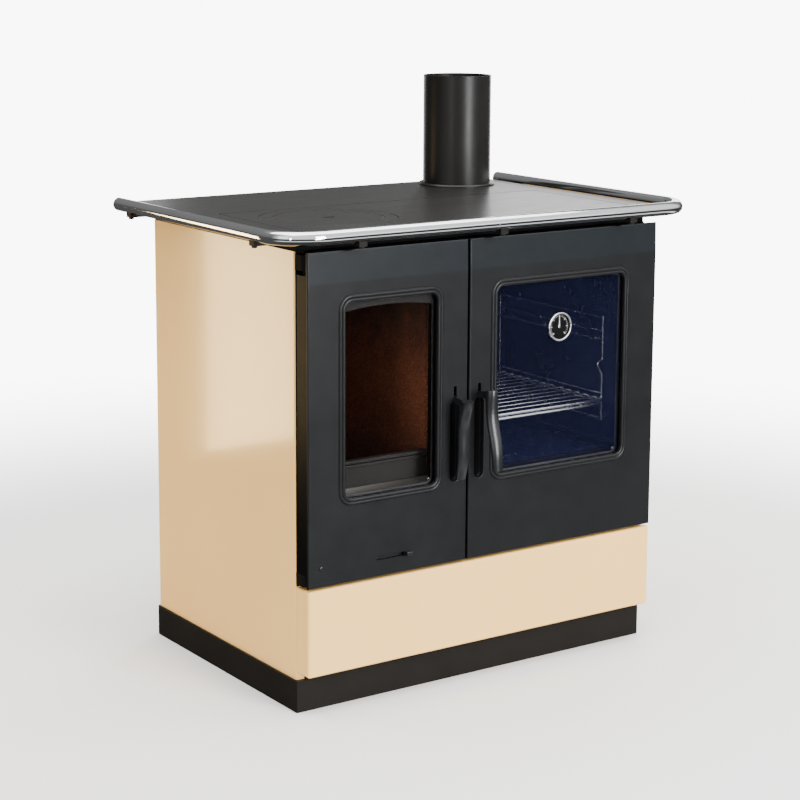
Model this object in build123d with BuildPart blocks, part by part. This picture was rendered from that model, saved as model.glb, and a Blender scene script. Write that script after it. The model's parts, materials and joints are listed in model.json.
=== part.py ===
"""Wood cookstove with a firebox, an oven, a cast hob, a towel rail and a storage drawer.

Frame: +X right, +Y to the back, +Z up, with the front of the stove facing -Y. The origin is on
the floor, in the middle of the plinth. All sizes are millimetres.
"""

from build123d import *

import os
from dataclasses import dataclass

# ------------------------------------------------------------------ body
body_width = 780.0  # over the side panels
body_depth = 512.0  # side panels, front to back
panel_top_z = 819.5
panel_sheet = 2.0
panel_return = 16.0  # folded edge at the front and back of a side panel
panel_bend = 5.0  # outer radius of those folds

plinth_height = 58.0
plinth_side_step = 4.0  # the plinth stands this much outside the side panels
plinth_front_step = 8.0
plinth_sheet = 3.0
plinth_flange = 45.0
base_pan_lip = 18.0

front_sheet = 6.0
casing_sheet = 3.0
casing_side_gap = 5.0  # air gap between a side panel and the inner casing
casing_back_gap = 4.0

back_vent_count = 9
back_vent_edge_gap = 22.0  # from the back panel's left edge to the first vent
back_vent_flue_gap = 67.0  # from the last vent to the flue box
back_vent_length = 36.0
back_vent_width = 6.0
back_vent_z = 765.0
back_vent_row = 60.0

# ------------------------------------------------------------------ doors
door_protrusion = 39.3  # door faces in front of the side panels
door_rear_gap = 4.0  # door backs in front of the side panels
door_side_inset = 1.0
door_low_z = 232.5
door_high_z = 821.0
door_seam_x = -50.0  # middle of the gap where the two doors meet
door_seam_gap = 4.0
door_plate = 8.0
door_wall = 8.0
door_edge_round = 2.5
door_crease_z = 766.0  # the face leans back a little above this line
door_crease_setback = 1.4

fire_window_left_inset = 22.0  # window edges inside the firebox opening
fire_window_right_inset = 14.0
oven_window_left_inset = 4.0  # window edges inside the oven opening
oven_window_right_inset = 33.0
window_low_z = 384.0
window_high_z = 731.0
window_corner = 14.0
moulding_width = 13.0
moulding_height = 4.0
moulding_step = 6.5  # width of the outer, lower bead
moulding_step_height = 3.2
moulding_lip = 2.0
moulding_valley = 2.0
glass_overlap = 6.0
glass_thickness = 4.0
glass_frame_sheet = 1.5
glass_frame_width = 9.0
glass_frame_gap = 0.5
deflector_sheet = 2.0

seal_rib = 12.0
seal_groove = 8.0
seal_groove_depth = 3.0
seal_side_clearance = 0.3
seal_round = 2.5
seal_inner_corner = 2.0
fire_seal_left_gap = 4.0  # from each side of the firebox opening to the seal's rib
fire_seal_right_gap = 2.0
fire_seal_low_gap = 2.0
fire_seal_high_gap = 5.0
oven_seal_left_gap = 6.0  # from each side of the oven opening to the seal's rib
oven_seal_right_gap = 3.0
oven_seal_low_gap = 12.0
oven_seal_high_gap = 2.0
seat_clearance = 0.3  # moving piece above the face that carries it

hinge_axis_inset = 10.0  # hinge axis inside the side panel's outer face
hinge_axis_forward = 18.0  # hinge axis in front of the side panels
hinge_lug_radius = 10.0
hinge_pin_radius = 4.0
hinge_pin_clearance = 0.08
hinge_pin_length = 20.0
hinge_bore_depth = 23.0
hinge_notch = 15.0  # room round the hinge axis in the door casting
hinge_notch_wall = 4.0
hinge_low_z = 233.5
hinge_low_height = 22.2
hinge_high_z = 789.0
hinge_high_height = 27.0
hinge_lift_gap = 8.0  # space under the upper hinge that lets the door lift off
hinge_boss_height = 30.0

# ------------------------------------------------------------------ handles
handle_pivot_depth = 12.0  # pivot behind the door face
handle_pivot_z = 535.0
handle_seam_left = 29.0  # firebox handle from the seam between the doors
handle_seam_right = 25.0
handle_tilt_left = -8.0  # lever angle at rest, degrees up from level
handle_tilt_right = 8.0
handle_pin_radius = 3.0
handle_pin_clearance = 0.05
handle_hub_radius = 7.5
handle_arm_thickness = 5.0
handle_arm_half = 6.0
handle_reach = 49.0  # grip centre in front of the pivot
handle_slot_width = 6.4
handle_slot_below = 10.0
handle_slot_above = 23.0
handle_lug_gap = 0.6
handle_lug_thickness = 5.0
# grip sections from the cap down: reach in front of the pivot, height, half width, half thickness
grip_sections = (
    (49.0, 8.5, 10.8, 10.8),
    (48.5, -2.0, 11.6, 11.0),
    (46.5, -35.0, 12.4, 8.4),
    (50.0, -75.0, 12.4, 7.6),
    (52.5, -105.0, 11.8, 7.4),
    (50.5, -137.0, 10.0, 6.6),
)
handle_nose_front = 32.0  # catch nose, behind the pivot
handle_nose_back = 39.0
handle_nose_rise = 12.0
catch_hole_width = 15.0
catch_hole_below = 35.0
catch_hole_above = 21.0
keeper_overlap = 2.0
keeper_height = 24.0
keeper_width = 30.0
keeper_sheet = 3.0

scoop_width = 21.0
scoop_round = 5.0
scoop_rim = 1.2
scoop_depth = 6.5
scoop_low_z = 382.0
scoop_high_z = 532.0
handle_pad = 6.0
handle_pad_half_width = 14.0
handle_slot_corner = 2.5

# ------------------------------------------------------------------ air slide
air_slot_inset = 88.0  # from the firebox opening's left side to the slot
air_slot_length = 74.0
air_slot_z = 266.0
air_slot_height = 8.0
air_plate_length = 92.0
air_plate_height = 16.0
air_plate_sheet = 2.0
air_tongue_width = 12.0
air_tongue_proud = 9.0
air_guide = 2.0
air_guide_width = 3.2
air_guide_lip = 3.0
air_clearance = 0.3
air_plate_lap = 12.0
air_tongue_end_gap = 1.0
air_tongue_corner = 2.0
air_tongue_round = 1.5
air_travel = 58.0
air_guide_length = 160.0

# ------------------------------------------------------------------ firebox
fire_side_margin = 54.0  # from the body's left side to the firebox opening
fire_seam_margin = 56.0  # from the firebox opening to the seam between the doors
fire_open_low_z = 256.0
fire_open_high_z = 735.0
fire_depth = 388.0
shell_sheet = 4.0
shell_high_z = 800.0
shell_right_high_z = 727.0
shell_low_z = 252.0
brick_thickness = 24.0
brick_high_z = 705.0
brick_face_gap = 2.0  # brick faces stand this far outside the door opening
brick_front_gap = 12.0
grate_z = 337.0
grate_thickness = 8.0
grate_slot_count = 9
grate_slot_width = 11.0
grate_border = 22.0
grate_gap = 0.5
ledge_height = 8.0
ledge_width = 8.0  # what the ledges reach out beyond the bricks
front_ledge_depth = 18.0
baffle_thickness = 22.0
baffle_smoke_gap = 72.0
retainer_high_z = 437.0
retainer_thickness = 8.0
retainer_ridge = 5.0
retainer_ridge_proud = 4.0
arch_side_z = 709.0
arch_rise = 9.0
brick_joint = 0.5
baffle_round = 4.0
retainer_side_gap = 1.0
ash_pan_height = 62.0
ash_pan_sheet = 1.5
ash_pan_inset = 10.0
ash_pan_front = 80.0
ash_pan_back_room = 36.0  # behind the pan, inside the firebox shell
ash_pan_handle = 10.0
ash_pan_grip = 70.0
ash_pan_grip_drop = 6.0  # handle strip below the pan's rim
ash_pan_grip_sheet = 2.0
ash_pan_corner = 6.0

# ------------------------------------------------------------------ oven
oven_seam_margin = 58.0  # from the seam between the doors to the oven
oven_side_margin = 47.0  # from the oven to the body's right side
oven_low_z = 386.0
oven_high_z = 744.0
oven_depth = 424.0
oven_sheet = 2.0
oven_corner = 12.0
rack_wire = 2.0
rack_upright = 2.3
rack_peg = 1.5
rack_wall_gap = 2.0
rack_foot_inset = 30.0
rack_front = 52.0
rack_back = 380.0
rack_low_z = 430.0
rack_high_z = 630.0
rack_guide_inset = 17.0
rack_guide_low_z = 464.0
rack_guide_step = 17.0
rack_upper_step = 123.0
rack_bend = 5.0
kink_low_z = 518.0
kink_high_z = 547.0
kink_inset = 13.0
kink_point_drop = 7.0
kink_bend = 3.5
rack_tail = 3.0
shelf_bar = 3.0
shelf_rung = 1.5
shelf_rung_count = 12
shelf_front = 44.0
shelf_depth = 330.0
shelf_front_drop = 8.0
shelf_wall_gap = 6.8

gauge_z = 642.0
gauge_radius = 27.0
gauge_bezel_width = 3.5
gauge_case_depth = 6.5
gauge_case_floor = 1.4
gauge_case_wall = 1.5
gauge_case_inset = 0.8
gauge_lens_inset = 0.6
gauge_dial_thickness = 0.6
gauge_bezel_depth = 3.4
gauge_lens_thickness = 1.0
gauge_needle_thickness = 0.6
gauge_needle_length = 17.0
gauge_needle_width = 2.4
gauge_needle_slope_angle = 87.0
gauge_needle_gap = 0.4
gauge_hub_radius = 2.4
gauge_spindle_radius = 1.0
gauge_spindle_clearance = 0.05
gauge_stem_radius = 6.0
gauge_stem_length = 40.0
gauge_stem_clearance = 0.3
gauge_nut_radius = 11.0
gauge_nut_thickness = 5.0

# ------------------------------------------------------------------ hob
hob_top_z = 850.0
hob_slab = 16.0
hob_side_overhang = 27.0
hob_front_overhang = 31.0
hob_back_overhang = 58.0
hob_corner = 32.0
hob_edge_round = 3.0
hob_plate_edge_round = 1.0  # on the plate, the ring and the lid
top_frame_hole_gap = 3.0
plate_side_border = 52.5  # hob outside the lift-out plate
plate_front = 13.5
plate_back = 307.5
plate_corner = 10.0
plate_gap = 1.5
plate_thickness = 14.0
plate_ledge = 14.0
plate_ledge_height = 6.0
plate_ledge_outside = 3.0
ring_side = 145.0  # ring centre inside the plate's left edge
ring_back = 161.5  # ring centre behind the side panels' front edges
ring_radius = 126.0
ring_gap = 1.0
ring_seat_depth = 10.0
ring_flange = 9.0
ring_ledge = 9.0
lid_radius = 101.0
lid_gap = 0.8
lid_thickness = 7.7
lid_ledge_height = 4.0
lid_ledge = 8.0
lid_key_length = 26.0
lid_key_width = 9.0
lid_key_depth = 4.0

# ------------------------------------------------------------------ rail
rail_radius = 12.5
rail_wall = 2.0
rail_gap_side = 31.0  # rail's centre line outside the hob
rail_gap_front = 38.0
rail_end_inset = 30.0  # rail ends in front of the hob's back edge
rail_bend = 70.0
rail_seam_x = -16.0
rail_seam_gap = 1.6
rail_sleeve_length = 60.0
rail_bracket_sheet = 4.0
rail_bracket_width = 16.0
rail_bracket_lap = 22.0  # under the hob
rail_bracket_nose = 6.0  # past the rail's centre line
rail_saddle = 8.0
rail_bracket_side_front = 36.0  # front side brackets behind the side panels' front edges
rail_bracket_end_inset = 50.0  # back side brackets in front of the rail's ends
rail_nut_radius = 5.5
rail_nut_drop = 3.5
rail_bracket_front_inset = 90.0  # outer front brackets inside the body's sides

# ------------------------------------------------------------------ flue
flue_side = 90.0  # flue's axis inside the body's right side
flue_hob_inset = 85.0  # flue's axis in front of the hob's back edge
flue_pipe_radius = 69.5
flue_pipe_wall = 2.0
flue_pipe_length = 220.0
flue_socket_gap = 0.3
flue_stop_gap = 0.5  # the pipe's stop bead stands this far over the spigot
flue_stop_height = 4.0
flue_stop_depth = 2.5
flue_flange_radius = 79.0
flue_flange = 5.0
flue_spigot_wall = 5.0
flue_spigot_rise = 40.0
flue_fit_gap = 0.3
flue_box_left_reach = 85.0  # flue box to each side of the flue's axis
flue_box_right_reach = 72.0
flue_box_front_reach = 80.0
flue_box_back_reach = 77.0
flue_box_low_z = 752.0
flue_box_sheet = 2.0

# ------------------------------------------------------------------ drawer
drawer_low_z = 70.5
drawer_high_z = 228.0
drawer_sheet = 2.0
drawer_edge_round = 5.0
drawer_rear_gap = 2.0  # drawer panel's back in front of the side panels
drawer_box_side_gap = 22.0  # box inside the case
drawer_flange_gap = 1.0  # box's side flanges clear of the runners
drawer_opening_side_gap = 1.5
drawer_box_low_z = 78.0
drawer_box_high_z = 205.0
drawer_box_back_room = 45.0  # behind the box, inside the case
drawer_case_side_gap = 8.0  # between the case and the inner casing
drawer_case_high_z = 230.0
drawer_case_back_gap = 5.0
drawer_case_sheet = 2.0
drawer_opening_margin = 4.0
runner_z = 112.0
runner_sheet = 2.0
runner_height = 26.0
runner_ledge = 16.0

# ------------------------------------------------------------------ derived planes
plinth_depth = body_depth + plinth_front_step
front_y = -plinth_depth / 2 + plinth_front_step
back_y = front_y + body_depth
half_width = body_width / 2
door_face_y = front_y - door_protrusion
door_back_y = front_y - door_rear_gap
door_plate_back_y = door_face_y + door_plate
door_half_width = half_width - door_side_inset
fire_open_low_x = -half_width + fire_side_margin
fire_open_high_x = door_seam_x - fire_seam_margin
oven_low_x = door_seam_x + oven_seam_margin
oven_high_x = half_width - oven_side_margin
air_slot_low_x = fire_open_low_x + air_slot_inset
air_slot_high_x = air_slot_low_x + air_slot_length
hob_half_width = half_width + hob_side_overhang
plate_half_width = hob_half_width - plate_side_border
ring_x = -plate_half_width + ring_side
flue_x = half_width - flue_side
flue_box_low_x = flue_x - flue_box_left_reach
flue_box_high_x = flue_x + flue_box_right_reach
hob_front_y = front_y - hob_front_overhang
hob_back_y = back_y + hob_back_overhang
flue_y = hob_back_y - flue_hob_inset
flue_box_low_y = flue_y - flue_box_front_reach
flue_box_high_y = flue_y + flue_box_back_reach
frame_front_y = front_y + panel_sheet
frame_back_y = frame_front_y + front_sheet
hinge_axis_x = half_width - hinge_axis_inset
hinge_axis_y = front_y - hinge_axis_forward
pivot_y = door_face_y + handle_pivot_depth
hob_slab_low_z = hob_top_z - hob_slab
plate_low_z = hob_top_z - plate_thickness
glass_back_y = door_plate_back_y + glass_thickness
casing_half_width = half_width - panel_sheet - casing_side_gap
casing_back_y = back_y - panel_sheet - casing_back_gap
drawer_case_half_width = casing_half_width - casing_sheet - drawer_case_side_gap
drawer_box_half_width = drawer_case_half_width - drawer_box_side_gap
drawer_flange_x = drawer_case_half_width - drawer_case_sheet - runner_sheet - drawer_flange_gap
case_back_y = casing_back_y - casing_sheet - drawer_case_back_gap
notch_low_z = hinge_low_z + hinge_low_height + seat_clearance
notch_high_z = hinge_high_z - hinge_lift_gap


@dataclass
class Door:
    """Places and sizes that tell one door from the other."""

    name: str
    side: int  # -1 for hinges on the left, 1 for hinges on the right
    low_x: float
    high_x: float
    window_low_x: float
    window_high_x: float
    seal_low_x: float
    seal_high_x: float
    seal_low_z: float
    seal_high_z: float
    handle_x: float
    handle_tilt: float


firebox_side = Door(
    name="firebox",
    side=-1,
    low_x=-door_half_width,
    high_x=door_seam_x - door_seam_gap / 2,
    window_low_x=fire_open_low_x + fire_window_left_inset,
    window_high_x=fire_open_high_x - fire_window_right_inset,
    seal_low_x=fire_open_low_x - seal_rib - fire_seal_left_gap,
    seal_high_x=fire_open_high_x + seal_rib + fire_seal_right_gap,
    seal_low_z=fire_open_low_z - seal_rib - fire_seal_low_gap,
    seal_high_z=fire_open_high_z + seal_rib + fire_seal_high_gap,
    handle_x=door_seam_x - handle_seam_left,
    handle_tilt=handle_tilt_left,
)
oven_side = Door(
    name="oven",
    side=1,
    low_x=door_seam_x + door_seam_gap / 2,
    high_x=door_half_width,
    window_low_x=oven_low_x + oven_window_left_inset,
    window_high_x=oven_high_x - oven_window_right_inset,
    seal_low_x=oven_low_x - seal_rib - oven_seal_left_gap,
    seal_high_x=oven_high_x + seal_rib + oven_seal_right_gap,
    seal_low_z=oven_low_z - seal_rib - oven_seal_low_gap,
    seal_high_z=oven_high_z + seal_rib + oven_seal_high_gap,
    handle_x=door_seam_x + handle_seam_right,
    handle_tilt=handle_tilt_right,
)
gauge_x = (oven_side.window_low_x + oven_side.window_high_x) / 2


def across(y):
    """Upright plane across the stove at the given y, facing the front."""
    return Plane.XZ.offset(-y)


def span(low_a, high_a, low_b, high_b, corner=0.0, mode=Mode.ADD):
    """Rectangle between two limits in each direction of the sketch, with rounded corners if asked."""
    with Locations(((low_a + high_a) / 2, (low_b + high_b) / 2)):
        if corner > 0:
            RectangleRounded(high_a - low_a, high_b - low_b, corner, mode=mode)
        else:
            Rectangle(high_a - low_a, high_b - low_b, mode=mode)


def save(piece, name):
    """Label a finished piece and write it."""
    piece.part.label = name
    export_step(piece.part, f"parts/{name}.step")


os.makedirs("parts", exist_ok=True)

# ------------------------------------------------------------------ plinth and outer panels
plinth_width = body_width + 2 * plinth_side_step
with BuildPart() as plinth:
    with BuildSketch():
        Rectangle(plinth_width, plinth_depth)
    extrude(amount=plinth_height)
    fillet(plinth.edges().filter_by(Axis.Z), plinth_sheet)
    with BuildSketch():
        Rectangle(plinth_width - 2 * plinth_sheet, plinth_depth - 2 * plinth_sheet)
    extrude(amount=plinth_height - plinth_sheet, mode=Mode.SUBTRACT)
    with BuildSketch():
        Rectangle(plinth_width - 2 * plinth_flange, plinth_depth - 2 * plinth_flange)
    extrude(amount=plinth_height, mode=Mode.SUBTRACT)
save(plinth, "plinth")

with BuildPart() as base_pan:
    with BuildSketch():
        Rectangle(plinth_width - 2 * plinth_sheet, plinth_depth - 2 * plinth_sheet)
    extrude(amount=base_pan_lip)
    with BuildSketch(Plane.XY.offset(plinth_sheet)):
        Rectangle(plinth_width - 4 * plinth_sheet, plinth_depth - 4 * plinth_sheet)
    extrude(amount=base_pan_lip, mode=Mode.SUBTRACT)
save(base_pan, "base_pan")

panel_middle = panel_sheet / 2
for side, name in ((-1, "left_side_panel"), (1, "right_side_panel")):
    fold_x = side * (half_width - panel_return)
    sheet_x = side * (half_width - panel_middle)
    with BuildPart() as side_panel:
        with BuildSketch(Plane.XY.offset(plinth_height)):
            with BuildLine() as fold:
                FilletPolyline(
                    (fold_x, front_y + panel_middle),
                    (sheet_x, front_y + panel_middle),
                    (sheet_x, back_y - panel_middle),
                    (fold_x, back_y - panel_middle),
                    radius=panel_bend - panel_middle,
                )
            trace(line_width=panel_sheet)
        extrude(amount=panel_top_z - plinth_height)
    save(side_panel, name)

back_panel_y = back_y - panel_sheet
back_vent_low_x = -half_width + back_vent_edge_gap
back_vent_high_x = flue_box_low_x - back_vent_flue_gap
back_vent_x = (back_vent_low_x + back_vent_high_x) / 2
back_vent_pitch = (back_vent_high_x - back_vent_low_x - back_vent_length) / (back_vent_count - 1)
with BuildPart() as back_panel:
    with BuildSketch(across(back_panel_y)):
        span(-half_width + panel_bend, half_width - panel_bend, plinth_height, panel_top_z)
        span(flue_box_low_x, flue_box_high_x, flue_box_low_z, panel_top_z + 1, mode=Mode.SUBTRACT)
        with Locations((back_vent_x, back_vent_z)):
            with GridLocations(back_vent_pitch, back_vent_row, back_vent_count, 2):
                SlotOverall(back_vent_length, back_vent_width, mode=Mode.SUBTRACT)
    extrude(amount=panel_sheet)
save(back_panel, "back_panel")

# ------------------------------------------------------------------ carcass
# The front frame is welded from flat strips that butt edge to edge.
frame_half_width = half_width - panel_bend
drawer_hole_half_width = drawer_flange_x + drawer_opening_side_gap
drawer_hole_low_z = drawer_box_low_z - drawer_opening_margin
drawer_hole_high_z = drawer_box_high_z + drawer_opening_margin
catch_low_z = handle_pivot_z - catch_hole_below
catch_high_z = handle_pivot_z + catch_hole_above
catch_half_width = catch_hole_width / 2
frame_strips = (
    (-frame_half_width, frame_half_width, plinth_height, drawer_hole_low_z),
    (-frame_half_width, -drawer_hole_half_width, drawer_hole_low_z, drawer_hole_high_z),
    (drawer_hole_half_width, frame_half_width, drawer_hole_low_z, drawer_hole_high_z),
    (-frame_half_width, frame_half_width, drawer_hole_high_z, fire_open_low_z),
    (-frame_half_width, fire_open_low_x, fire_open_low_z, panel_top_z),
    (fire_open_low_x, fire_open_high_x, fire_open_high_z, panel_top_z),
    (fire_open_high_x, oven_low_x, fire_open_low_z, catch_low_z),
    (fire_open_high_x, firebox_side.handle_x - catch_half_width, catch_low_z, catch_high_z),
    (
        firebox_side.handle_x + catch_half_width, oven_side.handle_x - catch_half_width,
        catch_low_z, catch_high_z,
    ),
    (oven_side.handle_x + catch_half_width, oven_low_x, catch_low_z, catch_high_z),
    (fire_open_high_x, oven_low_x, catch_high_z, panel_top_z),
    (oven_low_x, oven_high_x, fire_open_low_z, oven_low_z),
    (oven_low_x, oven_high_x, oven_high_z, panel_top_z),
    (oven_high_x, frame_half_width, fire_open_low_z, panel_top_z),
)
frame_pieces = []
for strip in frame_strips:
    with BuildPart() as frame_strip:
        with BuildSketch(across(frame_back_y)):
            span(*strip)
        extrude(amount=front_sheet)
    frame_pieces.append(frame_strip.part)
for corner_x, inward_x in ((oven_low_x, oven_corner), (oven_high_x, -oven_corner)):
    for corner_z, inward_z in ((oven_low_z, oven_corner), (oven_high_z, -oven_corner)):
        with BuildPart() as frame_corner:
            with BuildSketch(across(frame_back_y)):
                with Locations((corner_x + inward_x / 2, corner_z + inward_z / 2)):
                    Rectangle(oven_corner, oven_corner)
                with Locations((corner_x + inward_x, corner_z + inward_z)):
                    Circle(oven_corner, mode=Mode.SUBTRACT)
            extrude(amount=front_sheet)
        frame_pieces.append(frame_corner.part)
front_frame = Compound([piece.solid() for piece in frame_pieces])
front_frame.label = "front_frame"
export_step(front_frame, "parts/front_frame.step")

with BuildPart() as door_keepers:
    with BuildSketch(across(frame_back_y + keeper_sheet)):
        for door in (firebox_side, oven_side):
            keeper_low_z = handle_pivot_z + catch_hole_above - keeper_overlap
            span(
                door.handle_x - keeper_width / 2,
                door.handle_x + keeper_width / 2,
                keeper_low_z,
                keeper_low_z + keeper_height,
            )
    extrude(amount=keeper_sheet)
save(door_keepers, "door_keepers")

with BuildPart() as inner_casing:
    with BuildSketch(Plane.XY.offset(plinth_height)):
        span(-casing_half_width, casing_half_width, frame_back_y, casing_back_y)
        span(
            -casing_half_width + casing_sheet,
            casing_half_width - casing_sheet,
            frame_back_y - 1,
            casing_back_y - casing_sheet,
            mode=Mode.SUBTRACT,
        )
    extrude(amount=panel_top_z - plinth_height)
    with BuildSketch(Plane.XY.offset(flue_box_low_z)):
        span(flue_box_low_x, flue_box_high_x, flue_box_low_y, flue_box_high_y)
    extrude(amount=hob_top_z - flue_box_low_z, mode=Mode.SUBTRACT)
save(inner_casing, "inner_casing")

top_frame_half_width = half_width - panel_sheet
top_frame_hole = plate_half_width + plate_gap + plate_ledge_outside + top_frame_hole_gap
with BuildPart() as top_frame:
    with BuildSketch(Plane.XY.offset(panel_top_z)):
        span(-top_frame_half_width, top_frame_half_width, front_y, back_panel_y)
        span(
            -top_frame_hole, top_frame_hole, frame_back_y, casing_back_y - casing_sheet,
            mode=Mode.SUBTRACT,
        )
        span(flue_box_low_x, flue_box_high_x, flue_box_low_y, flue_box_high_y, mode=Mode.SUBTRACT)
    extrude(amount=hob_slab_low_z - panel_top_z)
save(top_frame, "top_frame")

# ------------------------------------------------------------------ firebox
brick_left_x = fire_open_low_x - brick_face_gap
brick_right_x = fire_open_high_x + brick_face_gap
shell_left_x = brick_left_x - brick_thickness
shell_right_x = brick_right_x + brick_thickness
shell_back_y = front_y + fire_depth - shell_sheet
brick_back_y = shell_back_y - brick_thickness
grate_low_z = grate_z - grate_thickness
brick_front_y = frame_back_y + brick_front_gap
with BuildPart() as firebox_shell:
    with BuildSketch(Plane.XY.offset(shell_low_z)):
        span(
            shell_left_x - shell_sheet, shell_right_x + shell_sheet,
            frame_back_y, shell_back_y + shell_sheet,
        )
    extrude(amount=shell_high_z - shell_low_z)
    with BuildSketch(Plane.XY.offset(fire_open_low_z)):
        span(shell_left_x, shell_right_x, frame_back_y - 1, shell_back_y)
    extrude(amount=shell_high_z, mode=Mode.SUBTRACT)
    with BuildSketch(Plane.XY.offset(shell_right_high_z)):
        span(shell_right_x - 1, shell_right_x + shell_sheet + 1, frame_back_y - 1, shell_back_y)
    extrude(amount=shell_high_z, mode=Mode.SUBTRACT)
    with BuildSketch(Plane.XY.offset(grate_low_z - ledge_height)):
        span(shell_left_x, shell_right_x, frame_back_y, shell_back_y)
        span(
            brick_left_x + ledge_width,
            brick_right_x - ledge_width,
            frame_back_y + front_ledge_depth,
            brick_back_y - ledge_width,
            mode=Mode.SUBTRACT,
        )
    extrude(amount=ledge_height)
    with BuildSketch(Plane.XY.offset(handle_pivot_z - catch_hole_below)):
        span(shell_right_x - 1, shell_right_x + shell_sheet + 1, frame_back_y - 1, brick_front_y)
    extrude(amount=catch_hole_below + catch_hole_above + keeper_height, mode=Mode.SUBTRACT)
save(firebox_shell, "firebox_shell")

with BuildPart() as fire_bricks:
    with BuildSketch(Plane.XY.offset(grate_low_z)):
        span(shell_left_x, brick_left_x, brick_front_y, shell_back_y)
        span(brick_right_x, shell_right_x, brick_front_y, shell_back_y)
        span(brick_left_x + brick_joint, brick_right_x - brick_joint, brick_back_y, shell_back_y)
    extrude(amount=brick_high_z - grate_low_z)
save(fire_bricks, "fire_bricks")

with BuildPart() as baffle:
    with BuildSketch(Plane.XY.offset(brick_high_z)):
        span(shell_left_x, shell_right_x, frame_back_y + baffle_smoke_gap, shell_back_y)
    extrude(amount=baffle_thickness)
    fillet(baffle.edges().filter_by(Axis.X).group_by(Axis.Y)[0], baffle_round)
save(baffle, "baffle")

grate_front_y = frame_back_y + front_ledge_depth - ledge_width + grate_gap
grate_back_y = brick_back_y - grate_gap
grate_low_x = brick_left_x + grate_gap
grate_high_x = brick_right_x - grate_gap
grate_pitch = (grate_high_x - grate_low_x - 2 * grate_border) / grate_slot_count
with BuildPart() as grate:
    with BuildSketch(Plane.XY.offset(grate_low_z)):
        span(grate_low_x, grate_high_x, grate_front_y, grate_back_y)
        with Locations(((grate_low_x + grate_high_x) / 2, (grate_front_y + grate_back_y) / 2)):
            with GridLocations(grate_pitch, 0, grate_slot_count, 1):
                SlotOverall(
                    grate_back_y - grate_front_y - 2 * grate_border, grate_slot_width,
                    rotation=90, mode=Mode.SUBTRACT,
                )
    extrude(amount=grate_thickness)
save(grate, "grate")

retainer_back_y = grate_front_y - grate_gap
with BuildPart() as log_retainer:
    with BuildSketch(Plane.YZ.offset(fire_open_low_x + retainer_side_gap)):
        with BuildLine():
            Polyline(
                (retainer_back_y - retainer_thickness, grate_low_z),
                (retainer_back_y, grate_low_z),
                (retainer_back_y, retainer_high_z),
                (retainer_back_y - retainer_thickness - retainer_ridge_proud, retainer_high_z),
                (retainer_back_y - retainer_thickness - retainer_ridge_proud,
                 retainer_high_z - retainer_ridge),
                (retainer_back_y - retainer_thickness, retainer_high_z - 2 * retainer_ridge),
                close=True,
            )
        make_face()
    extrude(amount=fire_open_high_x - fire_open_low_x - 2 * retainer_side_gap)
save(log_retainer, "log_retainer")

ash_pan_low_x = fire_open_low_x + ash_pan_inset
ash_pan_high_x = fire_open_high_x - ash_pan_inset
ash_pan_front_y = front_y + ash_pan_front
with BuildPart() as ash_pan:
    with BuildSketch(Plane.XY.offset(fire_open_low_z + seat_clearance)):
        span(
            ash_pan_low_x, ash_pan_high_x, ash_pan_front_y, shell_back_y - ash_pan_back_room,
            ash_pan_corner,
        )
    extrude(amount=ash_pan_height)
    offset(amount=-ash_pan_sheet, openings=ash_pan.faces().sort_by(Axis.Z)[-1])
    with BuildSketch(across(ash_pan_front_y)):
        span(
            (ash_pan_low_x + ash_pan_high_x) / 2 - ash_pan_grip / 2,
            (ash_pan_low_x + ash_pan_high_x) / 2 + ash_pan_grip / 2,
            fire_open_low_z + ash_pan_height - ash_pan_grip_drop - ash_pan_grip_sheet,
            fire_open_low_z + ash_pan_height - ash_pan_grip_drop,
        )
    extrude(amount=ash_pan_handle)
save(ash_pan, "ash_pan")

# ------------------------------------------------------------------ oven
oven_back_y = front_y + oven_depth
with BuildPart() as oven_box:
    with BuildSketch(across(oven_back_y + oven_sheet)):
        span(
            oven_low_x - oven_sheet, oven_high_x + oven_sheet,
            oven_low_z - oven_sheet, oven_high_z + oven_sheet, oven_corner + oven_sheet,
        )
    extrude(amount=oven_back_y + oven_sheet - frame_back_y)
    with BuildSketch(across(oven_back_y)):
        span(oven_low_x, oven_high_x, oven_low_z, oven_high_z, oven_corner)
    extrude(amount=oven_back_y - frame_back_y, mode=Mode.SUBTRACT)
save(oven_box, "oven_box")

with BuildPart() as smoke_box:
    with BuildSketch(Plane.XY.offset(flue_box_low_z)):
        span(flue_box_low_x, flue_box_high_x, flue_box_low_y, flue_box_high_y)
    extrude(amount=hob_slab_low_z - flue_box_low_z)
    with BuildSketch(Plane.XY.offset(flue_box_low_z + flue_box_sheet)):
        span(
            flue_box_low_x + flue_box_sheet, flue_box_high_x - flue_box_sheet,
            flue_box_low_y - 1, flue_box_high_y - flue_box_sheet,
        )
    extrude(amount=hob_slab_low_z, mode=Mode.SUBTRACT)
save(smoke_box, "smoke_box")

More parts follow.
